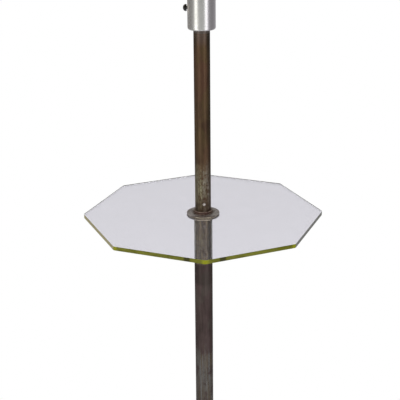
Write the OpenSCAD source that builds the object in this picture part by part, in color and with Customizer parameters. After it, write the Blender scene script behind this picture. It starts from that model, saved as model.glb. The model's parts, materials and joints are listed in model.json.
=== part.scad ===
// Floor lamp with an eight-sided glass table clamped round its column.
// Sizes are in millimetres. The origin is the centre of the base on the floor,
// +Z is up, one corner of the table points to -Y and the switch knob to -X.

/* [Column] */
// Height of the table's top face above the floor
table_h = 635; // [560:5:700]
// Outside diameter of the tube above the table
upper_od = 25.4; // [24:0.1:26]
// Wall of the tube above the table
upper_wall = 1.5; // [1:0.1:2]
// Outside diameter of the tube below the table
lower_od = 29.6; // [29:0.1:34]
// Wall of the tube below the table
lower_wall = 2; // [1:0.1:2.2]
// Outside diameter of the threaded pipe that clamps the column together
pipe_od = 10; // [9:0.1:11]
// Bore of the threaded pipe, where the wires run
pipe_bore = 7; // [5:0.1:7.5]

/* [Glass table] */
// Width of the octagon from flat to flat
glass_flats = 355.6; // [280:0.4:420]
// Thickness of the glass
glass_t = 6.35; // [5:0.05:10]
// Radius that blunts the eight corners
glass_corner_r = 6; // [2:0.5:12]
// Ground bevel along the edges
glass_arris = 0.6; // [0.3:0.1:1.2]
// Wall of the bush that lines the hole in the glass
bush_wall = 1.2; // [0.8:0.1:2.5]

/* [Table fittings] */
// Diameter of the two metal flanges
flange_d = 52; // [46:1:70]
// Thickness of the lower flange
flange_t = 2; // [1.5:0.1:3]
// Thickness of the upper flange
top_flange_t = 1.2; // [1.1:0.1:2]
// Depth of the recess under the upper flange that its cushion lies in
flange_recess = 0.6; // [0.4:0.1:0.7]
// Rounding of a flange's rim
flange_edge_r = 0.7; // [0.3:0.1:0.7]
// Diameter of the cushion washers between flange and glass
cushion_d = 47; // [40:1:50]
// Thickness of a cushion washer
cushion_t = 0.8; // [0.5:0.1:2]
// Diameter of the turned ring that the upper tube stands in
ring_d = 29; // [28.5:0.1:34]
// Height of that ring
ring_h = 4.2; // [3.8:0.1:8]
// Depth of the seat in that ring
ring_seat = 2.4; // [1:0.1:3]
// Depth of the groove turned round that ring
ring_groove = 0.6; // [0.3:0.1:1]
// Length of the spigot inside the upper tube
spigot_up = 30; // [24:1:60]
// Length of the spigot inside the lower tube
spigot_down = 36; // [20:1:60]
// Height of the tube screw above the upper flange
screw_rise = 17.2; // [12:0.2:20]
// Turn of the tube screw to the right of the front corner, in degrees
screw_turn = 6.8; // [0:0.1:30]
// Diameter of the tube screw's head
screw_head_d = 4.4; // [3.6:0.1:6]
// Height of the tube screw's head
screw_head_h = 1.3; // [0.8:0.1:2]
// Diameter of the tube screw's shank
screw_d = 2.8; // [2:0.1:3.2]
// Length of the tube screw's shank
screw_len = 6; // [4:0.5:7]

/* [Socket cup] */
// Height of the cup's underside above the table's top face
cup_rise = 298; // [220:1:360]
// Outside diameter of the cup
cup_d = 43; // [42.6:0.1:50]
// Height of the cup
cup_h = 84; // [80:1:110]
// Wall of the cup
cup_wall = 1.5; // [1:0.1:1.8]
// Rounding of the cup's lower edge
cup_edge_r = 3.5; // [2:0.5:6]
// Thickness of the lock washers
washer_t = 0.8; // [0.6:0.1:1.5]
// Width across the flats of the pipe nuts
nut_flats = 16; // [14:0.5:19]
// Height of the pipe nuts
nut_h = 4; // [3:0.5:6]
// Length of the plug at the top of the upper tube
top_plug_h = 10; // [6:1:30]

/* [Switch] */
// Height of the switch shaft above the cup's underside
knob_rise = 32.7; // [30:0.1:36]
// Diameter of the knob
knob_d = 10.6; // [9.6:0.1:16]
// How far the knob stands out of the cup
knob_len = 6.5; // [5.5:0.1:12]
// Gap between the knob and the cup
knob_gap = 0.4; // [0.3:0.1:1]
// Number of finger flutes round the knob
knob_flutes = 12; // [6:1:16]
// Depth of a flute
flute_depth = 0.25; // [0.15:0.05:0.4]
// Radius of a flute
flute_r = 0.9; // [0.6:0.1:1.2]
// Diameter of the switch shaft
shaft_d = 4.8; // [4:0.1:5.4]
// Depth of the knob's bore
knob_bore_h = 3.6; // [2.5:0.1:4]
// Outside diameter of the switch bushing
bushing_d = 8; // [7.6:0.1:9]
// Side of the four-sided switch cam
cam_w = 5.4; // [5:0.1:5.6]
// Length of the switch cam
cam_len = 8; // [5:0.5:10]

/* [Lampholder] */
// Outside diameter of the brass sleeve
sleeve_od = 38; // [37:0.1:38.6]
// Wall of the sleeve and of the holder cap
sleeve_wall = 0.8; // [0.6:0.1:1]
// How far the sleeve stands up out of the cup
sleeve_proud = 10; // [9:0.5:14]
// Height of the side wall of the holder cap
cap_wall_h = 13; // [8:0.5:15]
// Length of the holder cap's neck
cap_neck_h = 4; // [3:0.5:6]
// Outside diameter of the holder cap's neck
cap_neck_d = 14; // [13:0.5:18]
// Thickness of the insulating liner
liner_t = 0.7; // [0.4:0.1:0.8]
// Height of the insulating body
body_h = 34; // [33:0.5:35]
// Height of the screw shell
shell_h = 29; // [26:0.5:32]
// Mean radius of the screw shell's thread
shell_r = 13.3; // [13.1:0.1:14]
// Wall of the screw shell
shell_wall = 0.4; // [0.3:0.05:0.6]
// Pitch of the lamp thread
lamp_pitch = 3.63; // [3.4:0.01:3.8]
// Depth of the lamp thread to each side of its mean
lamp_thread = 0.42; // [0.3:0.02:0.5]
// Pitch of the sleeve's ring thread
ring_pitch = 1.6; // [1.2:0.1:2]
// How far the sleeve's ring thread stands out
ring_thread = 0.5; // [0.3:0.1:0.6]
// Height of the shade ring
nut_ring_h = 6; // [5:0.5:7]
// Outside diameter of the shade ring
nut_ring_d = 48; // [46:0.5:54]
// Number of finger grooves round the shade ring
nut_ring_grooves = 24; // [12:1:32]

/* [Bulb] */
// Diameter of the bulb
bulb_d = 60; // [50:1:80]
// Height of the glass above its metal cap
bulb_h = 80; // [76:1:110]
// Radius of the bulb's neck
neck_r = 13.6; // [13:0.1:14.5]
// Wall of the bulb
bulb_wall = 0.8; // [0.6:0.1:1.2]

/* [Shade] */
// Bottom diameter of the shade
shade_bottom_d = 356; // [300:2:372]
// Top diameter of the shade
shade_top_d = 305; // [250:1:340]
// Height of the shade
shade_h = 241; // [200:1:280]
// Thickness of the shade's parchment
skin_t = 0.8; // [0.5:0.1:1.5]
// Diameter of the shade's wires
wire_d = 3.2; // [2.6:0.1:4]
// Thickness of the fitter ring in the middle of the shade
fitter_t = 1.6; // [1.2:0.1:2.4]
// Width of the fitter ring's flat band
fitter_band = 8; // [7.5:0.5:12]
// Number of spokes
spokes = 3; // [3:1:6]
// Width of the binding tape at the shade's edges
tape_w = 9; // [6:1:16]
// Thickness of the binding tape
tape_t = 0.5; // [0.3:0.1:1]

/* [Base] */
// Diameter of the base
base_d = 280; // [240:2:330]
// Height of the base's middle above the floor
base_h = 36; // [34:1:46]
// Sheet thickness of the spun cover
cover_t = 1.2; // [0.8:0.1:1.6]
// Height of the cover's upright rim
rim_h = 15; // [14.5:0.5:18]
// Rounding from the rim to the top
rim_r = 7; // [4:0.5:10]
// Width of the step that runs round the cover
step_w = 7; // [4:0.5:12]
// Height of that step
step_h = 2.4; // [1.5:0.1:4]
// Diameter of the raised middle of the cover
boss_d = 70; // [60:1:90]
// Height of the raised middle
boss_h = 3; // [2:0.5:5]
// Thickness of the felt
felt_t = 2; // [1.5:0.1:4]
// Gap from the floor to the rim of the cover
floor_gap = 1.2; // [0.8:0.1:1.4]
// Thickness of the iron weight at its edge
weight_edge = 13; // [11:0.5:13]
// Diameter of the recess under the weight
recess_d = 58; // [46:1:70]
// Depth of the recess under the weight
recess_h = 12; // [10:0.5:16]
// Diameter of the foot ring round the lower tube
foot_ring_d = 46; // [42:0.5:56]
// Height of the foot ring
foot_ring_h = 9; // [7:0.5:14]
// Depth of the seat in the foot ring
foot_seat = 5; // [3:0.5:6]
// Length of the plug at the foot of the lower tube
foot_plug_h = 16; // [10:1:40]
// Diameter of the large washer under the weight
base_washer_d = 36; // [28:1:44]
// Thickness of the large washer
base_washer_t = 2; // [1.5:0.1:3]
// Bore of the cord inlet
inlet_bore = 6; // [5:0.1:6.4]
// Wall of the cord inlet's bush
inlet_wall = 1.2; // [0.8:0.1:1.4]
// Width of the cord inlet's collar beyond its wall
inlet_collar = 1; // [0.6:0.1:1.2]

/* [Fits] */
// Gap round a fixed piece in its hole
fit = 0.15; // [0.1:0.01:0.2]
// Gap round the turning switch shaft
run_fit = 0.05; // [0.03:0.01:0.08]

/* [Hidden] */
$fn = 96;
tiny = 0.01;

// Bores of the two tubes, and what slides into them
upper_id = upper_od - 2 * upper_wall;
lower_id = lower_od - 2 * lower_wall;
spigot_od = upper_id - 2 * fit;
pipe_hole = pipe_od + 2 * fit;

// Levels of the clamped table, from the lower tube's end to the upper tube
glass_z = table_h - glass_t;
low_flange_z = glass_z - cushion_t - flange_t;
up_flange_z = table_h + cushion_t - flange_recess;
ring_z = up_flange_z + top_flange_t;
upper_z = ring_z + ring_h - ring_seat;
screw_z = ring_z + screw_rise;
glass_hole = upper_id + 2 * bush_wall + 2 * fit;

// Levels of the base
cover_z = floor_gap;
weight_z = felt_t;
cover_top = base_h - boss_h;
lower_z = base_h + foot_ring_h - foot_seat;
pipe_stub = 2; // what the pipe stands out of its nut
weight_d = base_d - 2 * cover_t - 2 * fit;
inlet_z = weight_z + inlet_bore / 2 + inlet_wall;
inlet_od = inlet_bore + 2 * inlet_wall;

// Levels of the cup and the lampholder in it
cup_z = table_h + cup_rise;
cup_floor_z = cup_z + cup_wall;
cup_nut_z = cup_floor_z + washer_t;
cap_z = cup_nut_z + nut_h;
cap_floor_z = cap_z + cap_neck_h;
body_z = cap_floor_z + sleeve_wall;
shell_z = body_z + body_h;
knob_z = cup_z + knob_rise;
cup_top = cup_z + cup_h;
sleeve_id = sleeve_od - 2 * sleeve_wall;
cap_od = sleeve_id - 2 * fit;
body_d = cap_od - 2 * sleeve_wall - 2 * fit;
liner_z = body_z + cap_wall_h;
sleeve_top = cup_top + sleeve_proud;
pipe_z = weight_z + recess_h - base_washer_t - nut_h - pipe_stub;
pipe_top = cap_floor_z + sleeve_wall / 2;

// The lamp in its screw shell
bulb_gap = 0.3;
bulb_cap_r = shell_r - shell_wall - bulb_gap;
bulb_seat = 4; // depth of the glass in its metal cap
tip_h = 3.4;
contact_rise = 3.8;
bulb_tip_z = shell_z + contact_rise;
bulb_cap_top = shell_z + shell_h + 1;

// The shade, which sits on the cup's rim
wire_sink = 0.6; // how far the spokes are let into the fitter ring
wire_gap = 0.1; // between the wires and the parchment
wire_z = cup_top + fitter_t + wire_d / 2 - wire_sink;
shade_z = wire_z - wire_d / 2;
shade_top = shade_z + shade_h;
fitter_id = sleeve_od + 2 * ring_thread + 2 * fit;
fitter_od = fitter_id + 2 * fitter_band;

// Points of an arc, centre (cx, cy), radius r, from angle a to angle b
function arc(cx, cy, r, a, b, n = 8) =
    [for (i = [0:n]) [cx + r * cos(a + (b - a) * i / n), cy + r * sin(a + (b - a) * i / n)]];

// Radius of the shade's outer face at height z
function shade_r(z) =
    shade_bottom_d / 2 + (shade_top_d - shade_bottom_d) / 2 * (z - shade_z) / shade_h;

// One side of a rolled lamp thread, from height a to height b
function thread_side(r, a, b, per_turn = 8) =
    let (n = ceil((b - a) / lamp_pitch * per_turn))
    [for (i = [0:n]) let (z = a + (b - a) * i / n)
        [r + lamp_thread * cos(360 * (z - shell_z) / lamp_pitch), z]];

function backwards(p) = [for (i = [len(p) - 1:-1:0]) p[i]];

module tube(od, id, h) {
    difference() {
        cylinder(d = od, h = h);
        translate([0, 0, -1]) cylinder(d = id, h = h + 2);
    }
}

module hex_nut(flats, bore, h) {
    difference() {
        cylinder(d = flats / cos(30), h = h, $fn = 6);
        translate([0, 0, -1]) cylinder(d = bore, h = h + 2);
    }
}

// A turned disc whose rim is rounded above and below
module round_disc(d, bore, h, r) {
    rotate_extrude()
        polygon(concat([[bore / 2, 0]], arc(d / 2 - r, r, r, -90, 0, 5),
            arc(d / 2 - r, h - r, r, 0, 90, 5), [[bore / 2, h]]));
}

// ---------------------------------------------------------------- base

module base_felt() {
    inset = 8;
    lip = 4;
    color("#2c4a3a") tube(base_d - 2 * inset, recess_d + 2 * lip, felt_t);
}

// Outline of the cover's top, from the middle out, lowered and drawn in by t:
// a raised middle, a slope that steepens outwards, a step and a rounded rim
function cover_line(t, slope_steps = 6, boss_foot = 4, boss_foot_h = 0.6) =
    let (r = base_d / 2, slope_in = boss_d / 2 + boss_foot, slope_out = r - rim_r - step_w,
         drop = cover_top - rim_h - rim_r - step_h)
    concat(
        [[pipe_hole / 2, base_h - t], [boss_d / 2 - t, base_h - t]],
        [[boss_d / 2 - t + boss_h * 0.4, cover_top - t + boss_foot_h], [slope_in, cover_top - t]],
        [for (i = [1:slope_steps]) let (s = i / slope_steps)
            [slope_in + (slope_out - slope_in) * s, cover_top - t - drop * s * s]],
        [[slope_out + step_h * 0.5, rim_h + rim_r - t]],
        arc(r - rim_r, rim_h, rim_r - t, 90, 0, 6));

module base_cover() {
    drill = 15;
    color("#5a4a40") difference() {
        rotate_extrude()
            polygon(concat(cover_line(0), [[base_d / 2, cover_z], [base_d / 2 - cover_t, cover_z]],
                backwards(cover_line(cover_t))));
        translate([0, base_d / 2 + drill / 3, inlet_z]) rotate([90, 0, 0])
            cylinder(d = inlet_od + 2 * fit, h = drill);
    }
}

module base_weight() {
    top_z = base_h - cover_t;
    post_gap = 1.5;
    post_r = boss_d / 2 - cover_t - post_gap;
    edge_bevel = 3;
    shoulder_w = 12;
    shoulder_z = cover_top - cover_t - 5;
    channel_w = inlet_od + 2 * inlet_collar + 1;
    color("#3b3b3d") difference() {
        rotate_extrude()
            polygon([[pipe_hole / 2, weight_z + recess_h], [recess_d / 2, weight_z + recess_h],
                [recess_d / 2, weight_z], [weight_d / 2, weight_z],
                [weight_d / 2, weight_z + weight_edge - edge_bevel],
                [weight_d / 2 - edge_bevel, weight_z + weight_edge],
                [boss_d / 2 + shoulder_w, shoulder_z], [post_r, shoulder_z + 3],
                [post_r, top_z], [pipe_hole / 2, top_z]]);
        // Channel from the cord inlet to the recess
        translate([-channel_w / 2, 0, weight_z - 1])
            cube([channel_w, base_d, inlet_z - weight_z + channel_w / 2 + 1]);
    }
}

// Bush in the cover's rim, with a collar outside and a catch inside
module cord_inlet() {
    inner = base_d / 2 - cover_t - 0.4;
    tail = 6;
    collar_t = 2;
    catch_t = 2.6;
    catch_from = 4;
    collar_d = inlet_od + 2 * inlet_collar;
    color("#1b1b1c") translate([0, 0, inlet_z]) rotate([-90, 0, 0]) difference() {
        union() {
            translate([0, 0, inner - tail]) cylinder(d = inlet_od, h = tail + collar_t + 0.4);
            translate([0, 0, base_d / 2]) cylinder(d = collar_d, h = collar_t);
            translate([0, 0, inner - catch_from]) cylinder(d = collar_d, h = catch_t);
        }
        translate([0, 0, inner - tail - 1]) cylinder(d = inlet_bore, h = 2 * tail);
    }
}

module base_washer() {
    color("#8d8f92") translate([0, 0, weight_z + recess_h - base_washer_t])
        tube(base_washer_d, pipe_hole, base_washer_t);
}

module base_nut() {
    color("#8d8f92") translate([0, 0, weight_z + recess_h - base_washer_t - nut_h])
        hex_nut(nut_flats, pipe_od, nut_h);
}

// ---------------------------------------------------------------- column

// Turned in two steps, with a seat for the lower tube
module foot_ring() {
    r = foot_ring_d / 2;
    seat_r = lower_od / 2 + fit;
    edge_r = 1.2;
    step_z = foot_ring_h * 0.4;
    neck_r = seat_r + 1.9;
    color("#6b5648") translate([0, 0, base_h]) rotate_extrude()
        polygon(concat([[pipe_hole / 2, 0], [r, 0]], arc(r - edge_r, step_z, edge_r, 0, 90, 4),
            [[neck_r + 1.3, step_z + edge_r]],
            arc(neck_r - edge_r, foot_ring_h - edge_r, edge_r, 0, 90, 4),
            [[seat_r, foot_ring_h], [seat_r, foot_ring_h - foot_seat],
             [pipe_hole / 2, foot_ring_h - foot_seat]]));
}

module foot_plug() {
    color("#8d8f92") translate([0, 0, lower_z]) tube(lower_id - 2 * fit, pipe_hole, foot_plug_h);
}

module lamp_pipe() {
    color("#9a9c9f") translate([0, 0, pipe_z]) tube(pipe_od, pipe_bore, pipe_top - pipe_z);
}

module lower_tube() {
    color("#463c3a") translate([0, 0, lower_z]) tube(lower_od, lower_id, low_flange_z - lower_z);
}

module upper_tube() {
    color("#4f4034") difference() {
        translate([0, 0, upper_z]) tube(upper_od, upper_id, cup_z - upper_z);
        tube_screw_axis() cylinder(d = screw_d + 2 * fit, h = upper_od);
    }
}

module top_plug() {
    color("#8d8f92") translate([0, 0, cup_z - top_plug_h])
        tube(upper_id - 2 * fit, pipe_hole, top_plug_h);
}

// ---------------------------------------------------------------- table

// Puts +Z along the tube screw, out through the wall of the upper tube
module tube_screw_axis() {
    translate([0, 0, screw_z]) rotate([0, 0, screw_turn - 90]) rotate([0, 90, 0]) children();
}

module table_spigot() {
    color("#a8915f") difference() {
        union() {
            translate([0, 0, low_flange_z - spigot_down])
                cylinder(d = lower_id - 2 * fit, h = spigot_down);
            translate([0, 0, low_flange_z - tiny])
                cylinder(d = spigot_od, h = upper_z + spigot_up - low_flange_z);
        }
        translate([0, 0, low_flange_z - spigot_down - 1])
            cylinder(d = pipe_hole, h = spigot_down + spigot_up + upper_z - low_flange_z + 2);
        tube_screw_axis() cylinder(d = screw_d + 2 * fit, h = upper_od);
    }
}

module lower_flange() {
    color("#8f7f6b") translate([0, 0, low_flange_z])
        round_disc(flange_d, upper_id, flange_t, flange_edge_r);
}

// The upper flange is thin and hides its cushion in a recess
module upper_flange() {
    edge_r = min(flange_edge_r, top_flange_t / 2 - 0.05);
    color("#8f7f6b") translate([0, 0, up_flange_z]) difference() {
        round_disc(flange_d, upper_id, top_flange_t, edge_r);
        translate([0, 0, -1]) cylinder(d = cushion_d + 2 * fit, h = flange_recess + 1);
    }
}

module lower_cushion() {
    color("#6a5138") translate([0, 0, glass_z - cushion_t]) tube(cushion_d, upper_id, cushion_t);
}

module upper_cushion() {
    color("#6a5138") translate([0, 0, table_h]) tube(cushion_d, upper_id, cushion_t);
}

module glass_bush() {
    color("#d8d4c4") translate([0, 0, glass_z]) tube(upper_id + 2 * bush_wall, upper_id, glass_t);
}

module octagon(inset) {
    offset(r = glass_corner_r, $fn = 48)
        circle(r = (glass_flats / 2 - inset - glass_corner_r) / cos(22.5), $fn = 8);
}

module glass_table() {
    color("#c8cc9a", 0.5) difference() {
        hull() {
            translate([0, 0, glass_z]) linear_extrude(glass_t) octagon(glass_arris);
            translate([0, 0, glass_z + glass_arris])
                linear_extrude(glass_t - 2 * glass_arris) octagon(0);
        }
        translate([0, 0, glass_z - 1]) cylinder(d = glass_hole, h = glass_t + 2);
    }
}

module tube_ring() {
    r = ring_d / 2;
    mid = ring_h / 2;
    edge_r = 0.5;
    color("#7b5444") translate([0, 0, ring_z]) difference() {
        rotate_extrude()
            polygon(concat([[upper_id / 2, 0]], arc(r - edge_r, edge_r, edge_r, -90, 0, 3),
                [[r, mid - 0.5], [r - ring_groove, mid], [r, mid + 0.5]],
                arc(r - edge_r, ring_h - edge_r, edge_r, 0, 90, 3), [[upper_id / 2, ring_h]]));
        translate([0, 0, ring_h - ring_seat]) cylinder(d = upper_od + 2 * fit, h = ring_seat + 1);
    }
}

module tube_screw() {
    head_r = screw_head_d / 2;
    slot_w = 0.7;
    color("#bfb3a8") tube_screw_axis() translate([0, 0, upper_od / 2]) difference() {
        rotate_extrude()
            polygon(concat([[0, -screw_len], [screw_d / 2, -screw_len], [screw_d / 2, 0], [head_r, 0]],
                [for (i = [0:6]) [head_r * cos(i * 15), screw_head_h * (0.4 + 0.6 * sin(i * 15))]]));
        translate([-screw_head_d, -slot_w / 2, screw_head_h * 0.45])
            cube([2 * screw_head_d, slot_w, screw_head_h]);
    }
}

// ---------------------------------------------------------------- cup

// Puts +Z along the switch shaft, out to -X
module switch_axis() {
    translate([0, 0, knob_z]) rotate([0, -90, 0]) children();
}

module socket_cup() {
    r = cup_d / 2;
    inner_r = cup_edge_r - cup_wall;
    color("#b9babb") difference() {
        translate([0, 0, cup_z]) rotate_extrude()
            polygon(concat([[pipe_hole / 2, 0]], arc(r - cup_edge_r, cup_edge_r, cup_edge_r, -90, 0, 8),
                [[r, cup_h], [r - cup_wall, cup_h]],
                arc(r - cup_wall - inner_r, cup_wall + inner_r, inner_r, 0, -90, 6),
                [[pipe_hole / 2, cup_wall]]));
        switch_axis() cylinder(d = bushing_d + 2 * fit, h = cup_d);
    }
}

module cup_washer() {
    beyond_nut = 3;
    color("#8d8f92") translate([0, 0, cup_floor_z])
        tube(nut_flats + 2 * beyond_nut, pipe_hole, washer_t);
}

module cup_nut() {
    color("#8d8f92") translate([0, 0, cup_nut_z]) hex_nut(nut_flats, pipe_od, nut_h);
}

module holder_cap() {
    r = cap_od / 2;
    lip_r = sleeve_od / 2;
    floor_h = cap_neck_h + sleeve_wall;
    color("#b08d57") translate([0, 0, cap_z]) rotate_extrude()
        polygon([[pipe_od / 2, 0], [cap_neck_d / 2, 0], [cap_neck_d / 2, cap_neck_h - sleeve_wall],
            [lip_r, cap_neck_h - sleeve_wall], [lip_r, cap_neck_h], [r, cap_neck_h],
            [r, floor_h + cap_wall_h], [r - sleeve_wall, floor_h + cap_wall_h],
            [r - sleeve_wall, floor_h], [pipe_od / 2, floor_h]]);
}

module holder_sleeve() {
    r = sleeve_od / 2;
    turns = floor((sleeve_proud - 1.5) / ring_pitch);
    first = sleeve_top - 0.5 - turns * ring_pitch;
    color("#b08d57") difference() {
        rotate_extrude()
            polygon(concat([[r - sleeve_wall, cap_floor_z], [r, cap_floor_z]],
                [for (i = [0:turns - 1]) for (p = [[0, 0], [ring_thread, 0.5]])
                    [r + p[0], first + (i + p[1]) * ring_pitch]],
                [[r, first + turns * ring_pitch], [r, sleeve_top], [r - sleeve_wall, sleeve_top]]));
        switch_axis() cylinder(d = bushing_d + 2 * fit, h = cup_d);
    }
}

module holder_liner() {
    color("#8a7350") difference() {
        translate([0, 0, liner_z])
            tube(sleeve_id - 2 * fit, sleeve_id - 2 * fit - 2 * liner_t, sleeve_top - 2 - liner_z);
        switch_axis() cylinder(d = bushing_d + 2 * fit, h = cup_d);
    }
}

// Length of the switch shaft's journal behind its cam
journal = 3.8;

// Sides, heights and depths of the terminal screws and their seats
terminal_z = shell_z - 5;
terminal_head_d = 6;
terminal_head_h = 1.6;
terminal_d = 3;
terminal_len = 6;
terminal_seat = 2.6;
slot_w = 0.8;

// Width and thickness of the centre contact, and the hole in the shell round it
contact_w = 5;
contact_t = 0.4;
shell_hole_r = 7;

module terminal_axis(side) {
    translate([0, 0, terminal_z]) rotate([-90 * side, 0, 0])
        translate([0, 0, body_d / 2 - terminal_seat]) children();
}

module holder_body() {
    pocket = cam_w * sqrt(2) / 2 + 0.6; // the cam's corners swing clear
    bore_end = cam_len / 2 + journal + 0.2;
    color("#2a2320") difference() {
        translate([0, 0, body_z]) cylinder(d = body_d, h = body_h);
        // Switch chamber, open to the top
        translate([-cam_len / 2 - 0.5, -pocket, knob_z - pocket])
            cube([cam_len + 1, 2 * pocket, body_z + body_h - knob_z + pocket + 1]);
        switch_axis() translate([0, 0, -bore_end]) cylinder(d = shaft_d + 2 * run_fit, h = bore_end);
        switch_axis() cylinder(d = bushing_d, h = body_d);
        for (side = [-1, 1]) terminal_axis(side) {
            cylinder(d = terminal_head_d + 1, h = terminal_seat + 1);
            translate([0, 0, -terminal_len - 0.5])
                cylinder(d = terminal_d + 2 * fit, h = terminal_len + 1);
        }
        // Way for the wires, from the pipe to the chamber
        translate([0, 0, body_z - 1]) cylinder(d = pipe_bore, h = knob_z - pocket - body_z + 2);
    }
}

module terminal_screws() {
    color("#c9a862") for (side = [-1, 1]) terminal_axis(side) difference() {
        union() {
            cylinder(d = terminal_head_d, h = terminal_head_h);
            translate([0, 0, -terminal_len]) cylinder(d = terminal_d, h = terminal_len + tiny);
        }
        translate([-terminal_head_d, -slot_w / 2, terminal_head_h * 0.5])
            cube([2 * terminal_head_d, slot_w, terminal_head_h]);
    }
}

module screw_shell() {
    top = shell_z + shell_h;
    lip = 0.9;
    floor_r = shell_r - 0.6;
    outer = thread_side(shell_r, shell_z + 1, top - 1);
    inner = thread_side(shell_r - shell_wall, shell_z + 1, top - 1);
    color("#b08d57") rotate_extrude()
        polygon(concat([[shell_hole_r, shell_z], [floor_r, shell_z]], outer,
            [[shell_r + lip, top], [shell_r + lip - shell_wall, top]], backwards(inner),
            [[floor_r - shell_wall, shell_z + shell_wall], [shell_hole_r, shell_z + shell_wall]]));
}

module centre_contact() {
    rise = contact_rise;
    foot = shell_hole_r - 1;
    foot_w = 1.2;
    top_r = contact_w / 2;
    color("#c9a862") translate([-contact_w / 2, 0, shell_z]) rotate([90, 0, 90])
        linear_extrude(contact_w)
            polygon([[-foot, 0], [-foot, contact_t], [foot_w - foot, contact_t], [-top_r, rise],
                [top_r, rise], [top_r, rise - contact_t], [contact_t / 2 - top_r, rise - contact_t],
                [foot_w + contact_t / 2 - foot, 0]]);
}

module switch_bushing() {
    inner = cam_len / 2 + 1.5; // keeps clear of the cam
    color("#b08d57") switch_axis() translate([0, 0, inner]) difference() {
        cylinder(d = bushing_d, h = cup_d / 2 - inner);
        translate([0, 0, -1]) cylinder(d = shaft_d + 2 * run_fit, h = cup_d);
    }
}

module switch_shaft() {
    far_end = cam_len / 2 + journal;
    near_end = cup_d / 2 + knob_gap + knob_bore_h;
    color("#9a9c9f") switch_axis() {
        translate([0, 0, -far_end]) cylinder(d = shaft_d, h = far_end + near_end);
        translate([-cam_w / 2, -cam_w / 2, -cam_len / 2]) cube([cam_w, cam_w, cam_len]);
    }
}

// Finger flutes run along the knob and fade out on its dome
module switch_knob() {
    r = knob_d / 2;
    skirt = knob_len * 0.28;
    color("#141414") switch_axis() translate([0, 0, cup_d / 2 + knob_gap]) difference() {
        rotate_extrude()
            polygon(concat([[0, 0], [r - 0.4, 0], [r, 0.4]],
                [for (i = [0:9]) [r * cos(i * 10), skirt + (knob_len - knob_gap - skirt) * sin(i * 10)]]));
        translate([0, 0, -1]) cylinder(d = shaft_d + 2 * run_fit, h = knob_bore_h + 1);
        for (i = [0:knob_flutes - 1])
            rotate([0, 0, 360 * i / knob_flutes]) translate([r + flute_r - flute_depth, 0, -1])
                cylinder(r = flute_r, h = knob_len + 2, $fn = 24);
    }
}

// ---------------------------------------------------------------- bulb

cap_metal_t = 0.9; // metal round the foot of the glass

module bulb_cap() {
    side = thread_side(bulb_cap_r, bulb_tip_z + tip_h, bulb_cap_top - 3);
    color("#b9babb") difference() {
        rotate_extrude()
            polygon(concat([[0, bulb_tip_z], [3.6, bulb_tip_z], [4.6, bulb_tip_z + 0.8],
                [bulb_cap_r - 2.6, bulb_tip_z + tip_h - 0.8]], side,
                [[bulb_cap_r, bulb_cap_top], [0, bulb_cap_top]]));
        translate([0, 0, bulb_cap_top - bulb_seat])
            cylinder(r = bulb_cap_r - cap_metal_t, h = bulb_seat + 1);
    }
}

// Share of the way out from the neck to the ball, at share s of the way up
function neck_ease(s) = s * s * (3 - 2 * s) * 0.5 + s * s * 0.5;

// Outline of the bulb from its neck up to its crown, drawn in by t
function bulb_line(t, neck_h = 14, low = -38, steps = 7) =
    let (r = bulb_d / 2 - t, n = neck_r - t, cz = bulb_cap_top + bulb_h - bulb_d / 2,
         join_r = r * cos(low), join_z = cz + r * sin(low), z0 = bulb_cap_top + neck_h)
    concat([[n, z0]],
        [for (i = [1:steps - 1]) let (s = i / steps)
            [n + (join_r - n) * neck_ease(s), z0 + (join_z - z0) * s]],
        arc(0, cz, r, low, 90, 14));

module bulb_glass() {
    seat_r = bulb_cap_r - cap_metal_t - 0.1;
    seat_z = bulb_cap_top - bulb_seat;
    color("#f4f1e6") rotate_extrude()
        polygon(concat([[seat_r - bulb_wall, seat_z], [seat_r, seat_z],
            [seat_r, bulb_cap_top], [neck_r, bulb_cap_top + 2]], bulb_line(0),
            backwards(bulb_line(bulb_wall)), [[neck_r - bulb_wall, bulb_cap_top + 2],
            [seat_r - bulb_wall, bulb_cap_top]]));
}

module bulb_stem() {
    stem_d = 6;
    stem_h = bulb_h * 0.42;
    lead_h = bulb_h * 0.2;
    lead_turn = 35;
    color("#d8d8d4") translate([0, 0, bulb_cap_top - bulb_seat]) {
        cylinder(d1 = 3 * stem_d, d2 = stem_d + 2, h = 2 * stem_d);
        cylinder(d = stem_d, h = stem_h);
        for (side = [-1, 1]) translate([0, 0, stem_h - 2]) rotate([0, side * lead_turn, 0])
            cylinder(d = 1, h = lead_h);
    }
}

// ---------------------------------------------------------------- shade

// Bottom wire and spokes, with the fitter ring that they carry the shade on
module shade_frame() {
    ring_r = shade_r(wire_z) - skin_t - wire_d / 2 - wire_gap;
    spoke_r = nut_ring_d / 2 + 0.6;
    spoke_d = wire_d - 0.2;
    color("#b9b09a") {
        translate([0, 0, cup_top]) tube(fitter_od, fitter_id, fitter_t);
        translate([0, 0, wire_z]) rotate_extrude() translate([ring_r, 0]) circle(d = wire_d, $fn = 24);
        for (i = [0:spokes - 1]) translate([0, 0, wire_z]) rotate([0, 0, 90 + i * 360 / spokes])
            translate([spoke_r, 0, 0]) rotate([0, 90, 0])
                cylinder(d = spoke_d, h = ring_r - spoke_r, $fn = 24);
    }
}

module shade_top_wire() {
    z = shade_top - wire_d / 2;
    color("#b9b09a") translate([0, 0, z]) rotate_extrude()
        translate([shade_r(z) - skin_t - wire_d / 2 - wire_gap, 0]) circle(d = wire_d, $fn = 24);
}

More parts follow.
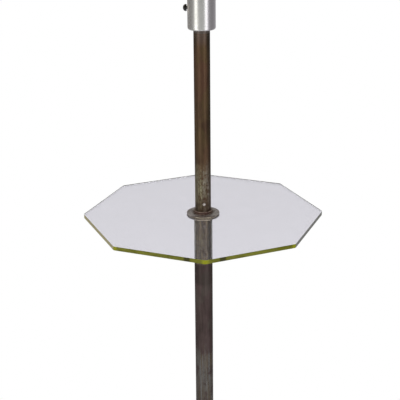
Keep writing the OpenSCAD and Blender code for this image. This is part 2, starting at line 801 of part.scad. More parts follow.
// Threaded ring that holds the shade's fitter down on the cup's rim
module shade_ring() {
    groove_d = 2.4;
    edge_r = 0.4;
    z = cup_top + fitter_t;
    color("#b08d57") difference() {
        translate([0, 0, z]) round_disc(nut_ring_d, fitter_id, nut_ring_h, edge_r);
        for (i = [0:nut_ring_grooves - 1]) rotate([0, 0, (i + 0.5) * 360 / nut_ring_grooves])
            translate([nut_ring_d / 2 + groove_d * 0.3, 0, z - 1])
                cylinder(d = groove_d, h = nut_ring_h + 2);
    }
}

module shade_skin() {
    color("#e8dcc0") rotate_extrude()
        polygon([[shade_r(shade_z) - skin_t, shade_z], [shade_r(shade_z), shade_z],
            [shade_r(shade_top), shade_top], [shade_r(shade_top) - skin_t, shade_top]]);
}

// Tape folded over both edges of the parchment and the wires inside them
module shade_binding() {
    low = shade_z + tape_w;
    high = shade_top - tape_w;
    turn_in = skin_t + wire_d;
    color("#d9c9a4") {
        rotate_extrude()
            polygon([[shade_r(shade_z) - turn_in, shade_z - tape_t],
                [shade_r(shade_z) + tape_t, shade_z - tape_t], [shade_r(low) + tape_t, low],
                [shade_r(low), low], [shade_r(shade_z), shade_z],
                [shade_r(shade_z) - turn_in, shade_z]]);
        rotate_extrude()
            polygon([[shade_r(shade_top) - turn_in, shade_top], [shade_r(shade_top), shade_top],
                [shade_r(high), high], [shade_r(high) + tape_t, high],
                [shade_r(shade_top) + tape_t, shade_top + tape_t],
                [shade_r(shade_top) - turn_in, shade_top + tape_t]]);
    }
}

base_felt();
base_weight();
base_cover();
cord_inlet();
base_washer();
base_nut();
foot_ring();
foot_plug();
lamp_pipe();
lower_tube();
table_spigot();
lower_flange();
lower_cushion();
glass_bush();
glass_table();
upper_cushion();
upper_flange();
tube_ring();
upper_tube();
tube_screw();
top_plug();
socket_cup();
cup_washer();
cup_nut();
holder_cap();
holder_body();
holder_liner();
holder_sleeve();
terminal_screws();
screw_shell();
centre_contact();
switch_bushing();
switch_shaft();
switch_knob();
bulb_cap();
bulb_glass();
bulb_stem();
shade_frame();
shade_ring();
shade_top_wire();
shade_skin();
shade_binding();
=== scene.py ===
import json
from math import cos, pi, radians, sin, tan

import bmesh
import bpy
from mathutils import Matrix, Vector


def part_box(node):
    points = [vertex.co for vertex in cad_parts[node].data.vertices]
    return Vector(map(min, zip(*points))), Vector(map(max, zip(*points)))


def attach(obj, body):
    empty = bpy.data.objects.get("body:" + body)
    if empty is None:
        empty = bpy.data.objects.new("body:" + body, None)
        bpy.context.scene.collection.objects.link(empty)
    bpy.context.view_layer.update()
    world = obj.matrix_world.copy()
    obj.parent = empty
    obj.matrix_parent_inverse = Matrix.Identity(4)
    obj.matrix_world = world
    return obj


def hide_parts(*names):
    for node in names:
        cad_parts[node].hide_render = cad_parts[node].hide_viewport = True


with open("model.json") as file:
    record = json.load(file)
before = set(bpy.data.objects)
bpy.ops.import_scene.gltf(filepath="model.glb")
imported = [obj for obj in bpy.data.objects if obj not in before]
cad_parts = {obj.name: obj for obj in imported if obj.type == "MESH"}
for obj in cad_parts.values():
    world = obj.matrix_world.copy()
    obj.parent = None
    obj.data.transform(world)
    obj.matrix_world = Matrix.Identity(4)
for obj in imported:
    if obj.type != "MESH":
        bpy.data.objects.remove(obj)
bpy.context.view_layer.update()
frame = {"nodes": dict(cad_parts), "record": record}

mm = 0.001
scene = bpy.context.scene
scene.view_settings.view_transform = "Standard"
slots = {row["node"]: row["material_slot"] for row in frame["record"]["subparts"]}
print("frame loaded,", len(frame["nodes"]), "nodes")


def sizes(**lengths):
    # the settings of a piece, given in millimetres
    return {key: length * mm for key, length in lengths.items()}


def rotated(degrees, axis):
    return Matrix.Rotation(radians(degrees), 4, axis)


# camera: a long lens, a little above the table
camera = dict(place=(-0.0215, -1.5784, 1.2418), down=20.34, turn=-0.603, roll=-0.533, lens=94.28)

cameraData = bpy.data.cameras.new("camera")
cameraData.lens = camera["lens"]
cameraObject = bpy.data.objects.new("camera", cameraData)
scene.collection.objects.link(cameraObject)
scene.camera = cameraObject
cameraObject.matrix_world = (
    Matrix.Translation(camera["place"]) @ rotated(camera["turn"], "Z")
    @ rotated(90 - camera["down"], "X") @ rotated(camera["roll"], "Z")
)
print("camera set")


def tone(colour):
    # a swatch's three values, 0 to 255, become a shader's linear ones; other colours pass
    if isinstance(colour, Wire) or len(colour) > 3:
        return colour
    share = [value / 255 for value in colour]
    return (*[s / 12.92 if s <= 0.04045 else ((s + 0.055) / 1.055) ** 2.4 for s in share], 1)


def pick(sockets, key):
    if isinstance(key, int):
        return sockets[key]
    return next(socket for socket in sockets if key in (socket.identifier, socket.name))


# one socket of a node, so that masks are written as sums
class Wire:
    def __init__(self, maker, socket):
        self.maker, self.socket = maker, socket

    def rise(self, low, high):
        # 0 below low, 1 above high, with a soft step between them
        sockets = {"Value": self, "From Min": low, "From Max": high}
        return self.maker.add("ShaderNodeMapRange", sockets, interpolation_type="SMOOTHSTEP")

    def limited(self):
        return self.maker.add("ShaderNodeClamp", {"Value": self})


def operator(operation, swapped):
    # a sign between two wires, or between a wire and a number
    def method(self, other):
        return self.maker.calc(operation, *((other, self) if swapped else (self, other)))
    return method


operations = {"add": "ADD", "sub": "SUBTRACT", "mul": "MULTIPLY", "truediv": "DIVIDE", "pow": "POWER"}
for key, operation in operations.items():
    setattr(Wire, f"__{key}__", operator(operation, False))
    setattr(Wire, f"__r{key}__", operator(operation, True))


# adds nodes to one tree
class Maker:
    def __init__(self, tree):
        self.tree = tree

    def add(self, kind, sockets=None, out=0, **settings):
        node = self.tree.nodes.new(kind)
        for key, value in settings.items():
            setattr(node, key, value)
        for key, value in (sockets or {}).items():
            if isinstance(value, Wire):
                self.link(value, pick(node.inputs, key))
            else:
                pick(node.inputs, key).default_value = value
        return Wire(self, pick(node.outputs, out))

    def link(self, wire, socket):
        self.tree.links.new(wire.socket, socket)

    def calc(self, operation, *values):
        return self.add("ShaderNodeMath", dict(enumerate(values)), operation=operation)

    def upward(self, length):
        return self.add("ShaderNodeCombineXYZ", {"Z": length})

    def join(self, first, second):
        both = self.add("GeometryNodeJoinGeometry", {"Geometry": first})
        self.link(second, both.socket.node.inputs[0])
        return both


# a material round one Principled shader; colour is what the layers so far make
class Finish(Maker):
    def __init__(self, name, constants):
        self.material = bpy.data.materials.new(name)
        self.material.use_nodes = True
        super().__init__(self.material.node_tree)
        self.shader = self.tree.nodes["Principled BSDF"]
        for key, value in constants.items():
            self.shader.inputs[key].default_value = value
        self.place = self.add("ShaderNodeTexCoord", out="Object")
        self.axes = [self.add("ShaderNodeSeparateXYZ", {0: self.place}, axis) for axis in (0, 1, 2)]
        self.x, self.y, self.z = self.axes

    def noise(self, scale, detail, rough, along=1, shift=(0, 0, 0), warp=0.0, across=(1, 1)):
        # along below 1 draws it out along the column
        sockets = {"Vector": self.place, "Location": shift, "Scale": (*across, along)}
        spot = self.add("ShaderNodeMapping", sockets)
        sockets = {"Vector": spot, "Scale": scale, "Detail": detail, "Roughness": rough, "Distortion": warp}
        return self.add("ShaderNodeTexNoise", sockets)

    def marks(self, along, scale, detail):
        # fine lines left by turning
        sockets = {"W": along, "Scale": scale, "Detail": detail}
        return self.add("ShaderNodeTexNoise", sockets, noise_dimensions="1D")

    def blend(self, share, low, high):
        sockets = {"Factor_Float": share, "A_Color": tone(low), "B_Color": tone(high)}
        return self.add("ShaderNodeMix", sockets, "Result_Color", data_type="RGBA")

    def ground(self, share, low, high):
        # the two tones under all layers
        self.colour = self.blend(share, low, high)

    def clouds(self, low, high, *noise, **others):
        # a ground whose two tones a noise parts
        cloud = self.noise(*noise, **others)
        self.ground(cloud.rise(0.3, 0.7), low, high)
        return cloud

    def layer(self, share, shade):
        self.colour = self.blend(share, self.colour, shade)

    def bump(self, height, depth, strength):
        return self.add("ShaderNodeBump", {"Height": height, "Distance": depth, "Strength": strength})

    def diffuse(self, colour):
        return self.add("ShaderNodeBsdfDiffuse", {"Color": tone(colour)})

    def coated(self, coats):
        # other shaders over the Principled one, each with its share
        surface = Wire(self, self.shader.outputs[0])
        for share, coat in coats:
            surface = self.add("ShaderNodeMixShader", {0: share, 1: surface, 2: coat})
        self.link(surface, self.tree.nodes["Material Output"].inputs["Surface"])

    def wear(self, rough=None, relief=None, metallic=None):
        wires = {"Base Color": self.colour, "Roughness": rough, "Normal": relief, "Metallic": metallic}
        for key, wire in wires.items():
            if wire:
                self.link(wire, self.shader.inputs[key])
        return self.material

    def radius(self):
        # distance from the column's axis
        return (self.x * self.x + self.y * self.y) ** 0.5


def softened(corners, steps=6):
    # rounds a closed outline; a corner is (radius, height) or (radius, height, fillet)
    outline = []
    for index, corner in enumerate(corners):
        here = Vector(corner[:2])
        if len(corner) < 3:
            outline.append(here)
            continue
        before = Vector(corners[index - 1][:2]) - here
        after = Vector(corners[(index + 1) % len(corners)][:2]) - here
        reach = corner[2] / tan(before.angle(after) / 2)
        reach = min(reach, before.length * 0.49, after.length * 0.49)
        start, end = here + before.normalized() * reach, here + after.normalized() * reach
        for step in range(steps + 1):
            t = step / steps
            outline.append(start * (1 - t) ** 2 + here * (2 * t * (1 - t)) + end * t ** 2)
    return outline


def arc(radius, height, across, up, start, end, steps):
    # points of an ellipse round (radius, height), between two angles in degrees
    angles = [radians(start + (end - start) * step / steps) for step in range(steps + 1)]
    return [(radius + across * cos(angle), height + up * sin(angle)) for angle in angles]


def band(inner, outer, foot, top, edge):
    # outline of a plain tube or ring with rounded outer edges
    return [(inner, foot), (outer, foot, edge), (outer, top, edge), (inner, top)]


def smooth(mesh, sharp=35):
    mesh.polygons.foreach_set("use_smooth", [True] * len(mesh.polygons))
    mesh.set_sharp_from_angle(angle=radians(sharp))


def settle(piece, sharp=35):
    # what the modifiers make becomes the piece's own mesh
    graph = bpy.context.evaluated_depsgraph_get()
    mesh = bpy.data.meshes.new_from_object(piece.evaluated_get(graph), depsgraph=graph)
    piece.modifiers.clear()
    piece.data = mesh
    smooth(mesh, sharp)
    return piece


def newPiece(name, made=None):
    mesh = bpy.data.meshes.new(name)
    if made:
        bmesh.ops.recalc_face_normals(made, faces=made.faces)
        made.to_mesh(mesh)
        made.free()
        smooth(mesh)
    piece = bpy.data.objects.new(name, mesh)
    scene.collection.objects.link(piece)
    return piece


def lathe(name, outline, sides=128, wave=None, turned=None):
    # turns a closed outline of (radius, height) round the column; turned then moves the piece
    made = bmesh.new()
    rings = []
    for radius, height in outline:
        if radius < 1e-6:
            rings.append([made.verts.new((0, 0, height))])
            continue
        ring = []
        for side in range(sides):
            angle = 2 * pi * side / sides
            at = radius + (wave(radius, height, angle) if wave else 0)
            ring.append(made.verts.new((at * cos(angle), at * sin(angle), height)))
        rings.append(ring)
    for index, ring in enumerate(rings):
        after = rings[(index + 1) % len(rings)]
        for side in range(sides):
            corners = [
                ring[side % len(ring)], ring[(side + 1) % len(ring)],
                after[(side + 1) % len(after)], after[side % len(after)],
            ]
            corners = list(dict.fromkeys(corners))
            if len(corners) > 2:
                made.faces.new(corners)
    if turned:
        made.transform(turned)
    return newPiece(name, made)


def cut(piece, cutter):
    tool = piece.modifiers.new("cut", "BOOLEAN")
    tool.operation = "DIFFERENCE"
    tool.solver = "EXACT"
    tool.object = cutter
    settle(piece)
    bpy.data.objects.remove(cutter)


def drill(piece, radius, start, end):
    # a straight hole from start to end
    start, end = Vector(start), Vector(end)
    depth = (end - start).length
    turned = Matrix.Translation(start) @ (end - start).to_track_quat("Z", "Y").to_matrix().to_4x4()
    cut(piece, lathe("drill", [(0, 0), (radius, 0), (radius, depth), (0, depth)], 48, None, turned))


def geometryTree(name, build, sockets):
    # build makes the shape from the tree's named inputs; the shape then gets the material
    tree = bpy.data.node_groups.new(name, "GeometryNodeTree")
    for kind, keys in sockets.items():
        for key in keys:
            tree.interface.new_socket(name=key, in_out="INPUT", socket_type="NodeSocket" + kind)
    tree.interface.new_socket(name="Geometry", in_out="OUTPUT", socket_type="NodeSocketGeometry")
    maker = Maker(tree)
    inputs = tree.nodes.new("NodeGroupInput").outputs
    given = {socket.name: Wire(maker, socket) for socket in inputs if socket.name}
    shape = maker.add("GeometryNodeRealizeInstances", {"Geometry": build(maker, given)})
    shape = maker.add("GeometryNodeSetMaterial", {"Geometry": shape, "Material": given["Material"]})
    maker.link(shape, tree.nodes.new("NodeGroupOutput").inputs["Geometry"])
    return tree


def runTree(piece, tree, inputs, sharp=35):
    modifier = piece.modifiers.new(tree.name, "NODES")
    modifier.node_group = tree
    for item in tree.interface.items_tree:
        if item.in_out == "INPUT" and item.name in inputs:
            modifier[item.identifier] = inputs[item.name]
    return settle(piece, sharp)


def span(node):
    # radius, foot and top of a node that is turned round the column
    low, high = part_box(node)
    return (high.x - low.x) / 2, low.z, high.z


def fitOn(piece, material, node, body="lamp"):
    piece.data.materials.clear()
    piece.data.materials.append(material)
    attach(piece, body)
    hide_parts(node)


# finishes of the metal column
def zones(height, bands):
    # a sum of soft bands, each from one height to another
    total = None
    for low, high, soft, strength in bands:
        band = height.rise(low - soft, low + soft) * (1 - height.rise(high - soft, high + soft)) * strength
        total = band if total is None else (total + band).limited()
    return total


def patina(name, look):
    # dark brown patina with drawn streaks, reddish clouds and worn grey-green zones between heights; the
    # sides and some height bands get painted shade
    constants = {"Metallic": look["metal"], "Specular Tint": look["edge"], "Specular IOR Level": 0.25}
    mat = Finish(name, constants)
    height, across = mat.z, mat.x / look["radius"]
    leftward = -1 * across
    cloud = mat.clouds(look["dark"], look["mid"], 38, 4, 0.6, 0.45)
    drawn = mat.noise(420, 3, 0.6, 0.03, (3, 1, 0))
    blush = mat.noise(23, 3, 0.5, 0.5, (0, 7, 2))
    grain = mat.noise(900, 3, 0.65, 0.5, (5, 0, 1))
    moss = mat.noise(52, 3, 0.5, 0.6, (9, 3, 4))
    mat.layer(blush.rise(0.42, 0.68) * look["blush"], look["red"])
    mat.layer(moss.rise(0.48, 0.62) * height.rise(*look["mossFrom"]) * 0.55, look["moss"])
    mat.layer(drawn.rise(0.35, 0.75) * 0.5, look["streak"])
    mat.layer(grain.rise(0.52, 0.74) * 0.35, look["dark"])
    # worn zones have ragged ends, fine specks above and broad patches low on the column
    ragged = (mat.noise(55, 5, 0.65, 0.7, (2, 2, 5)) - 0.5) * look["ragged"]
    worn = zones(height + ragged, look["worn"])
    mottle = mat.noise(look["speck"], 5, 0.8, 0.6, (1, 4, 0))
    patches = mat.noise(look["patch"], 4, 0.6, 0.6, (5, 1, 0))
    pitted = worn * mat.noise(look["speck"] * 1.5, 3, 0.6, 0.7, (8, 3, 0)).rise(0.55, 0.66)
    upper = height.rise(0.45, 0.5)
    flecks = mottle.rise(0.4, 0.58)
    bare = worn * (upper * flecks + (1 - upper) * patches.rise(0.36, 0.5) * (0.65 + 0.35 * flecks))
    bare = (bare + worn * leftward.rise(0.4, 0.85) * look["leftWorn"]).limited()
    light = mat.blend(across.rise(-0.4, 0.4), look["wornLeft"], look["wornTone"])
    light = mat.blend(upper, look["wornFoot"], light)
    mat.layer(bare, mat.blend(drawn.rise(0.4, 0.62), look["wornShade"], light))
    # runs and pits, then painted shade: on the sides of the column and in height bands, heavier on the left
    # side
    deep = 0.35 + 0.65 * upper
    run = mat.noise(170, 3, 0.6, 0.07, (4, 0, 9)).rise(0.5, 0.62)
    top = height.rise(look["topFrom"], look["topFull"])
    paintedTopFlankShade = 1.4 * across.rise(0.4, 0.75) + leftward.rise(0.5, 0.85)
    dark = [
        worn * run * deep * look["runs"], pitted * deep * 0.75, across.rise(0.52, 0.82) * look["paintedFlankShade"],
        leftward.rise(0, 0.8) * (1 - upper) * look["paintedLeftFlankShade"],
    ]
    if look["paintedShadeBands"]:
        dark.append(zones(height, look["paintedShadeBands"]) * (0.7 + 0.8 * leftward.rise(-0.2, 0.6)))
    for share in dark + [top * paintedTopFlankShade * 0.6]:
        mat.layer(share, look["pitAndShadeTone"])
    # a glossier top: painted shade on its sides, a grey film kept off them so the front reads lighter (partly
    # painted light), light rings and a light band just below the cup
    ringTop, topFull, ringPitch = look["ringTop"], look["topFull"], 4.2 * mm
    wave = mat.calc("SINE", (height - ringTop) * (2 * pi / ringPitch))
    rings = height.rise(ringTop - 0.012, ringTop) * wave.rise(0.2, 0.9)
    mat.layer(height.rise(topFull - 0.015, topFull) * (1 - paintedTopFlankShade) * 0.4, look["film"])
    mat.layer(rings * (0.15 + 0.5 * grain.rise(0.4, 0.6)), look["film"])
    mat.layer(height.rise(ringTop, ringTop + 0.0004) * 0.7, look["film"])
    rough = look["rough"] + 0.16 * (cloud - 0.5) + 0.1 * (grain - 0.5) - look["shine"] * worn - 0.08 * top
    return mat.wear(rough, mat.bump(drawn * 0.35 + grain * 0.4 + mottle * 0.25, 0.00006, 0.5))


# each look also sets painted shade: how dark the column's sides are painted and in which height bands shade
# is painted; one dark tone serves the pits and that painted shade
upperLook = dict(
    radius=12.7 * mm, metal=0.55, edge=(0.3, 0.25, 0.22, 1), rough=0.4, shine=0.03,
    dark=(60, 46, 35), mid=(88, 69, 52), red=(88, 60, 49), blush=0.5,
    streak=(100, 80, 62), moss=(82, 70, 45), mossFrom=(0.71, 0.77), pitAndShadeTone=(50, 45, 38),
    worn=[(0.663, 0.716, 0.014, 0.75), (0.668, 0.690, 0.012, 0.5), (0.63, 0.668, 0.006, 0.4),
          (0.921, 0.925, 0.001, 0.12)],
    wornTone=(148, 140, 129), wornLeft=(142, 137, 108), wornFoot=(142, 136, 117),
    wornShade=(108, 102, 84), leftWorn=0.45, ragged=0.03, speck=300, patch=75, runs=0.4,
    paintedFlankShade=0.55, paintedLeftFlankShade=0, paintedShadeBands=[(0.63, 0.656, 0.003, 0.18)],
    topFrom=0.88, topFull=0.92, ringTop=0.9278, film=(96, 89, 84),
)
lowerLook = dict(
    radius=14.8 * mm, metal=0.5, edge=(0.3, 0.27, 0.26, 1), rough=0.42, shine=0.2,
    dark=(60, 50, 48), mid=(84, 71, 69), red=(86, 68, 69), blush=0.5,
    streak=(94, 81, 80), moss=(76, 72, 66), mossFrom=(0, 0.01), pitAndShadeTone=(46, 42, 38),
    worn=[(0.16, 0.392, 0.014, 0.72), (0.552, 0.70, 0.005, 0.85), (0.548, 0.56, 0.002, 0.4)],
    wornTone=(162, 148, 116), wornLeft=(162, 148, 116), wornFoot=(120, 121, 119),
    wornShade=(102, 91, 74), leftWorn=0, ragged=0.045, speck=240, patch=75, runs=0.95,
    paintedFlankShade=0.2, paintedLeftFlankShade=0.3, paintedShadeBands=[(0.512, 0.549, 0.004, 0.4)],
    topFrom=0.69, topFull=0.7, ringTop=0.7, film=(92, 82, 75),
)
baseLook = dict(
    upperLook, worn=[(-0.1, 0.010, 0.002, 0.35), (0.036, 0.2, 0.001, 0.35)], ragged=0.012,
    wornFoot=(116, 106, 88), wornShade=(98, 86, 68), leftWorn=0, paintedFlankShade=0, paintedShadeBands=[],
    topFrom=0.09, topFull=0.1, ringTop=0.1,
)
print("patinas ready")


# the two tubes of the column
tubes = sizes(upperWall=1.5, lowerWall=2, edge=0.3, screwHole=1.55)


def tube(name, node, wall):
    radius, foot, top = span(node)
    return lathe(name, softened(band(radius - wall, radius, foot, top, tubes["edge"]), 3))


upperTube = tube("upperTube", "upper_tube", tubes["upperWall"])
screwMiddle = sum(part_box("tube_screw"), Vector()) / 2
screwWay = Vector((screwMiddle.x, screwMiddle.y, 0)).normalized()
screwFrom = Vector((0, 0, screwMiddle.z)) + screwWay * (span("upper_tube")[0] - 3 * mm)
drill(upperTube, tubes["screwHole"], screwFrom, screwFrom + screwWay * 6 * mm)
fitOn(upperTube, patina("upper tube patina", upperLook), "upper_tube")
lowerTube = tube("lowerTube", "lower_tube", tubes["lowerWall"])
fitOn(lowerTube, patina("lower tube patina", lowerLook), "lower_tube")
print("tubes made")


# turned fittings: flanges, ring, foot ring
def turnedBronze(name, look):
    # turning marks run round the axis; painted light and shade: the front of the rim gets a painted
    # highlight, the part close to the column painted shadow
    mat = Finish(name, {"Metallic": look["metal"], "Specular Tint": look["edge"]})
    radius, height, backward = mat.radius(), mat.z, mat.y
    marks = mat.marks(radius, 2600, 2)
    cloud = mat.clouds(look["dark"], look["mid"], 120, 5, 0.65)
    spots = mat.noise(420, 3, 0.6, shift=(4, 0, 2))
    mat.layer(spots.rise(0.52, 0.66) * 0.5, look["green"])
    if "lit" in look:
        # painted highlights along the edges of a dark body
        mat.layer(zones(height, look["lit"]) * cloud.rise(0.32, 0.5), look["paintedHighlight"])
    if "rim" in look:
        # painted light and shade: a painted highlight on the front of the rim, darker painted shade on its
        # sides, painted shadow close to the column
        rim = radius.rise(*look["rim"])
        if "paintedLowRim" in look:
            # the painted highlight sits at the foot of the upper flange's rim and further in on the lower
            # one, seen through the glass
            low = 1 - height.rise(glassLow.z, glassLow.z + 1 * mm)
            rim = rim * (1 - height.rise(glassHigh.z + 0.65 * mm, glassHigh.z + 0.95 * mm))
            rim = (rim + low * radius.rise(*look["paintedLowRim"])).limited()
        uneven = 0.25 * (cloud - 0.5)
        # the front masks: painted shadow falls over the front of the top, the painted highlight on the front
        # of the rim
        forward = (-1 * backward / look["rim"][1] + uneven).rise(0.55, 0.9)
        front = (-1 * backward / radius + uneven).rise(0.8, 0.97)
        mat.layer((1 - radius.rise(*look["grime"])) * 0.75, look["paintedShadow"])
        mat.layer(forward * (0.5 + 0.5 * cloud.rise(0.35, 0.6)) * look["frontGrime"], look["paintedShadow"])
        mat.layer(rim * (1 - front) * 0.6, look["paintedRimShade"])
        mat.layer(rim * front * (0.55 + 0.45 * cloud.rise(0.3, 0.6)), look["paintedHighlight"])
    rough = look["rough"] + 0.2 * (cloud - 0.5) + 0.1 * (marks - 0.5)
    return mat.wear(rough, mat.bump(marks * 0.6 + spots * 0.4, 0.00005, 0.5))


fittings = sizes(
    groove=0.25, grooveAt=24.4, rimFillet=0.45, footFillet=0.2, recessRadius=23.65, recess=0.6,
    back=0.8, backRadius=19, fall=0.3, wider=0.35,
)
glassLow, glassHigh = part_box("glass_table")
boreRadius = span("upper_tube")[0] - tubes["upperWall"]
flangeRadius = span("upper_flange")[0] + fittings["wider"]
# the flange bronze gets a painted highlight on the front of its rim and painted shadow near the column and
# over its front
flangeMetal = turnedBronze("flange bronze", dict(
    metal=0.6, edge=(0.7, 0.66, 0.6, 1), rough=0.28, frontGrime=0.8, grime=(15 * mm, 20.5 * mm),
    rim=(flangeRadius - 0.2 * mm, flangeRadius - 0.05 * mm),
    paintedLowRim=(flangeRadius - 2.4 * mm, flangeRadius - 1.8 * mm),
    dark=(182, 174, 171), mid=(214, 206, 202), green=(192, 189, 178),
    paintedHighlight=(246, 232, 202), paintedRimShade=(96, 91, 88), paintedShadow=(88, 63, 38),
))


def flange(name, node, under, back=0, fall=0):
    # under is its lower side, from the bore outwards; a fine groove runs round the top
    _, foot, top = span(node)
    groove, at = fittings["groove"], fittings["grooveAt"]
    outline = [(radius, foot + lift) for radius, lift in under] + [
        (flangeRadius, foot + back, fittings["footFillet"]),
        (flangeRadius, top - fall, fittings["rimFillet"]),
        (at + groove, top), (at, top - groove), (at - groove, top), (boreRadius, top),
    ]
    fitOn(lathe(name, softened(outline), 160), flangeMetal, node)


# under the upper flange a recess hides the cushion; the lower flange thins towards its rim
recess, recessRadius = fittings["recess"], fittings["recessRadius"]
under = [(boreRadius, recess), (recessRadius, recess), (recessRadius, 0)]
flange("upperFlange", "upper_flange", under, fall=fittings["fall"])
flange("lowerFlange", "lower_flange", [(boreRadius, 0), (fittings["backRadius"], 0)], back=fittings["back"])

ring = sizes(fillet=0.5, seat=12.85, floor=2.4, groove=0.6, half=0.5, lit=0.95, soft=0.05)
ringRadius, ringFoot, ringTop = span("tube_ring")
ringMiddle, ringFloor = (ringFoot + ringTop) / 2, ringTop - ring["floor"]
tubeRing = lathe("tubeRing", softened([
    (boreRadius, ringFoot), (ringRadius, ringFoot, ring["fillet"]), (ringRadius, ringMiddle - ring["half"]),
    (ringRadius - ring["groove"], ringMiddle, 0.3 * mm), (ringRadius, ringMiddle + ring["half"]),
    (ringRadius, ringTop, ring["fillet"]), (ring["seat"], ringTop), (ring["seat"], ringFloor),
    (boreRadius, ringFloor),
]))
# the ring bronze gets painted highlights in bands at its top and bottom edges
fitOn(tubeRing, turnedBronze("ring bronze", dict(
    metal=0.5, edge=(0.7, 0.6, 0.55, 1), rough=0.28,
    dark=(68, 46, 42), mid=(98, 72, 64), green=(84, 70, 64), paintedHighlight=(150, 130, 118),
    lit=[(ringFoot - ring["soft"], ringFoot + ring["lit"], ring["soft"], 1),
         (ringTop - ring["lit"], ringTop + ring["soft"], ring["soft"], 1)],
)), "tube_ring")
print("flanges and ring made")


# the glass table: an octagon whose shape follows one rule
glass = sizes(flats=355.6, corner=6, arris=0.6, hole=12.55, seam=4)
glass.update(
    index=1.52, tint=(0.822, 0.806, 0.926, 1), absorb=(0.654, 0.686, 0.171, 1), density=14, haze=0.05,
    # the last two settings place the painted dark refraction of the column, in degrees from the front corner
    imageAngles=(6.4, 7.2, 9.2, 10.2), imageShift=0.2,
)


def regularPlate(maker, given):
    # a plate with rounded corners and a round hole
    half = maker.calc("COSINE", pi / given["Sides"])
    sockets = {"Vertices": given["Sides"], "Radius": given["Width"] / 2 / half}
    edge = maker.add("GeometryNodeMeshCircle", sockets, fill_type="NONE")
    edge = maker.add("GeometryNodeMeshToCurve", {"Mesh": edge})
    sockets = {"Curve": edge, "Count": 8, "Radius": given["Corner Radius"], "Limit Radius": True}
    edge = maker.add("GeometryNodeFilletCurve", sockets, mode="POLY")
    sockets = {"Resolution": 96, "Radius": given["Hole Radius"]}
    hole = maker.add("GeometryNodeCurvePrimitiveCircle", sockets, mode="RADIUS")
    face = maker.add("GeometryNodeFillCurve", {"Curve": maker.join(edge, hole)}, mode="TRIANGLES")
    sockets = {"Mesh": face, "Offset Scale": given["Thickness"], "Individual": False}
    top = maker.add("GeometryNodeExtrudeMesh", sockets, mode="FACES")
    bottom = maker.add("GeometryNodeFlipFaces", {"Mesh": face})
    solid = maker.add("GeometryNodeMergeByDistance", {
        "Geometry": maker.join(top, bottom), "Distance": 0.00001})
    return maker.add("GeometryNodeTransform", {
        "Geometry": solid, "Translation": maker.upward(given["Height"])})


def plateGlass(foot, top):
    mat = Finish("table glass", {
        "Base Color": glass["tint"], "Roughness": 0.0, "IOR": glass["index"], "Transmission Weight": 1.0,
    })
    absorb = mat.add("ShaderNodeVolumeAbsorption", {"Color": glass["absorb"], "Density": glass["density"]})
    mat.link(absorb, mat.tree.nodes["Material Output"].inputs["Volume"])
    # a thin film of dust and hairline marks on the two flat faces
    rightward, _, height = mat.axes
    flat = 1 - height.rise(foot + 0.02 * mm, foot + 0.1 * mm) + height.rise(top - 0.1 * mm, top - 0.02 * mm)
    dust = mat.noise(28, 5, 0.65).rise(0.3, 0.8)
    hairline = mat.noise(60, 2, 0.5, 1, (3, 1, 0), across=(0.35, 9)).rise(0.66, 0.72)
    film = flat * glass["haze"] * (0.75 + 0.4 * dust + 0.5 * hairline)
    # the ground arris slants; inside is where a face is seen through the glass
    normal = mat.add("ShaderNodeNewGeometry", out="True Normal")
    inside = mat.add("ShaderNodeNewGeometry", out="Backfacing")
    upright = mat.calc("ABSOLUTE", mat.add("ShaderNodeSeparateXYZ", {0: normal}, 2))
    slanted = upright.rise(0.4, 0.6) * (1 - upright.rise(0.8, 0.95)) * (1 - inside)
    side = 1 - upright.rise(0.2, 0.4)
    # the edges are olive, lighter near each corner (painted highlight), with a painted dark refraction of the
    # column on both sides of the front corner
    angle = mat.calc("ARCTAN2", rightward, -1 * mat.y)
    eighth = mat.calc("FRACT", angle / (pi / 4) + 8.5)
    corner = mat.calc("ABSOLUTE", eighth - 0.5) * 45
    low, full, fading, high = glass["imageAngles"]
    across = mat.calc("ABSOLUTE", angle * (180 / pi) + glass["imageShift"])
    image = across.rise(low, full) * (1 - across.rise(fading, high))
    mat.ground(mat.noise(40, 3, 0.6, 4).rise(0.35, 0.65), (84, 85, 22), (100, 101, 30))
    mat.layer((1 - corner.rise(0.6, 2.2)) * 0.8, (128, 130, 26))
    mat.layer(image * 0.9, (44, 43, 10))
    olive = mat.add("ShaderNodeBsdfPrincipled", {
        "Base Color": mat.colour, "Roughness": 0.3, "Specular IOR Level": 0.0, "Coat Weight": 0.16,
        "Coat Roughness": 0.05})
    # painted reflection: seen at a slant, an edge is given a pale diffuse tone for the room, browner on its
    # left side than on its right
    grazing = mat.add("ShaderNodeLayerWeight", {"Blend": 0.5}, "Facing").rise(0.4, 0.75)
    paintedSlantReflection = mat.blend(rightward.rise(-0.02, 0.02), (146, 140, 112), (114, 114, 111))
    pale = mat.add("ShaderNodeBsdfPrincipled", {
        "Base Color": paintedSlantReflection, "Roughness": 0.6, "Specular IOR Level": 0.0})
    # from inside, an edge lets light pass, with painted shade as a dark line along its upper part
    line = height.rise(top - glass["seam"], top - glass["seam"] * 0.85)
    mat.coated([
        (film, mat.diffuse((0.86, 0.86, 0.92, 1))),
        (slanted * 0.6, mat.diffuse((196, 196, 172))),
        (side * (1 - inside) * 0.97, olive),
        (side * (1 - inside) * grazing, pale),
        (side * inside * 0.75, mat.add("ShaderNodeBsdfTransparent")),
        (side * inside * line * 0.95, mat.diffuse((50, 50, 44))),
    ])
    return mat.material


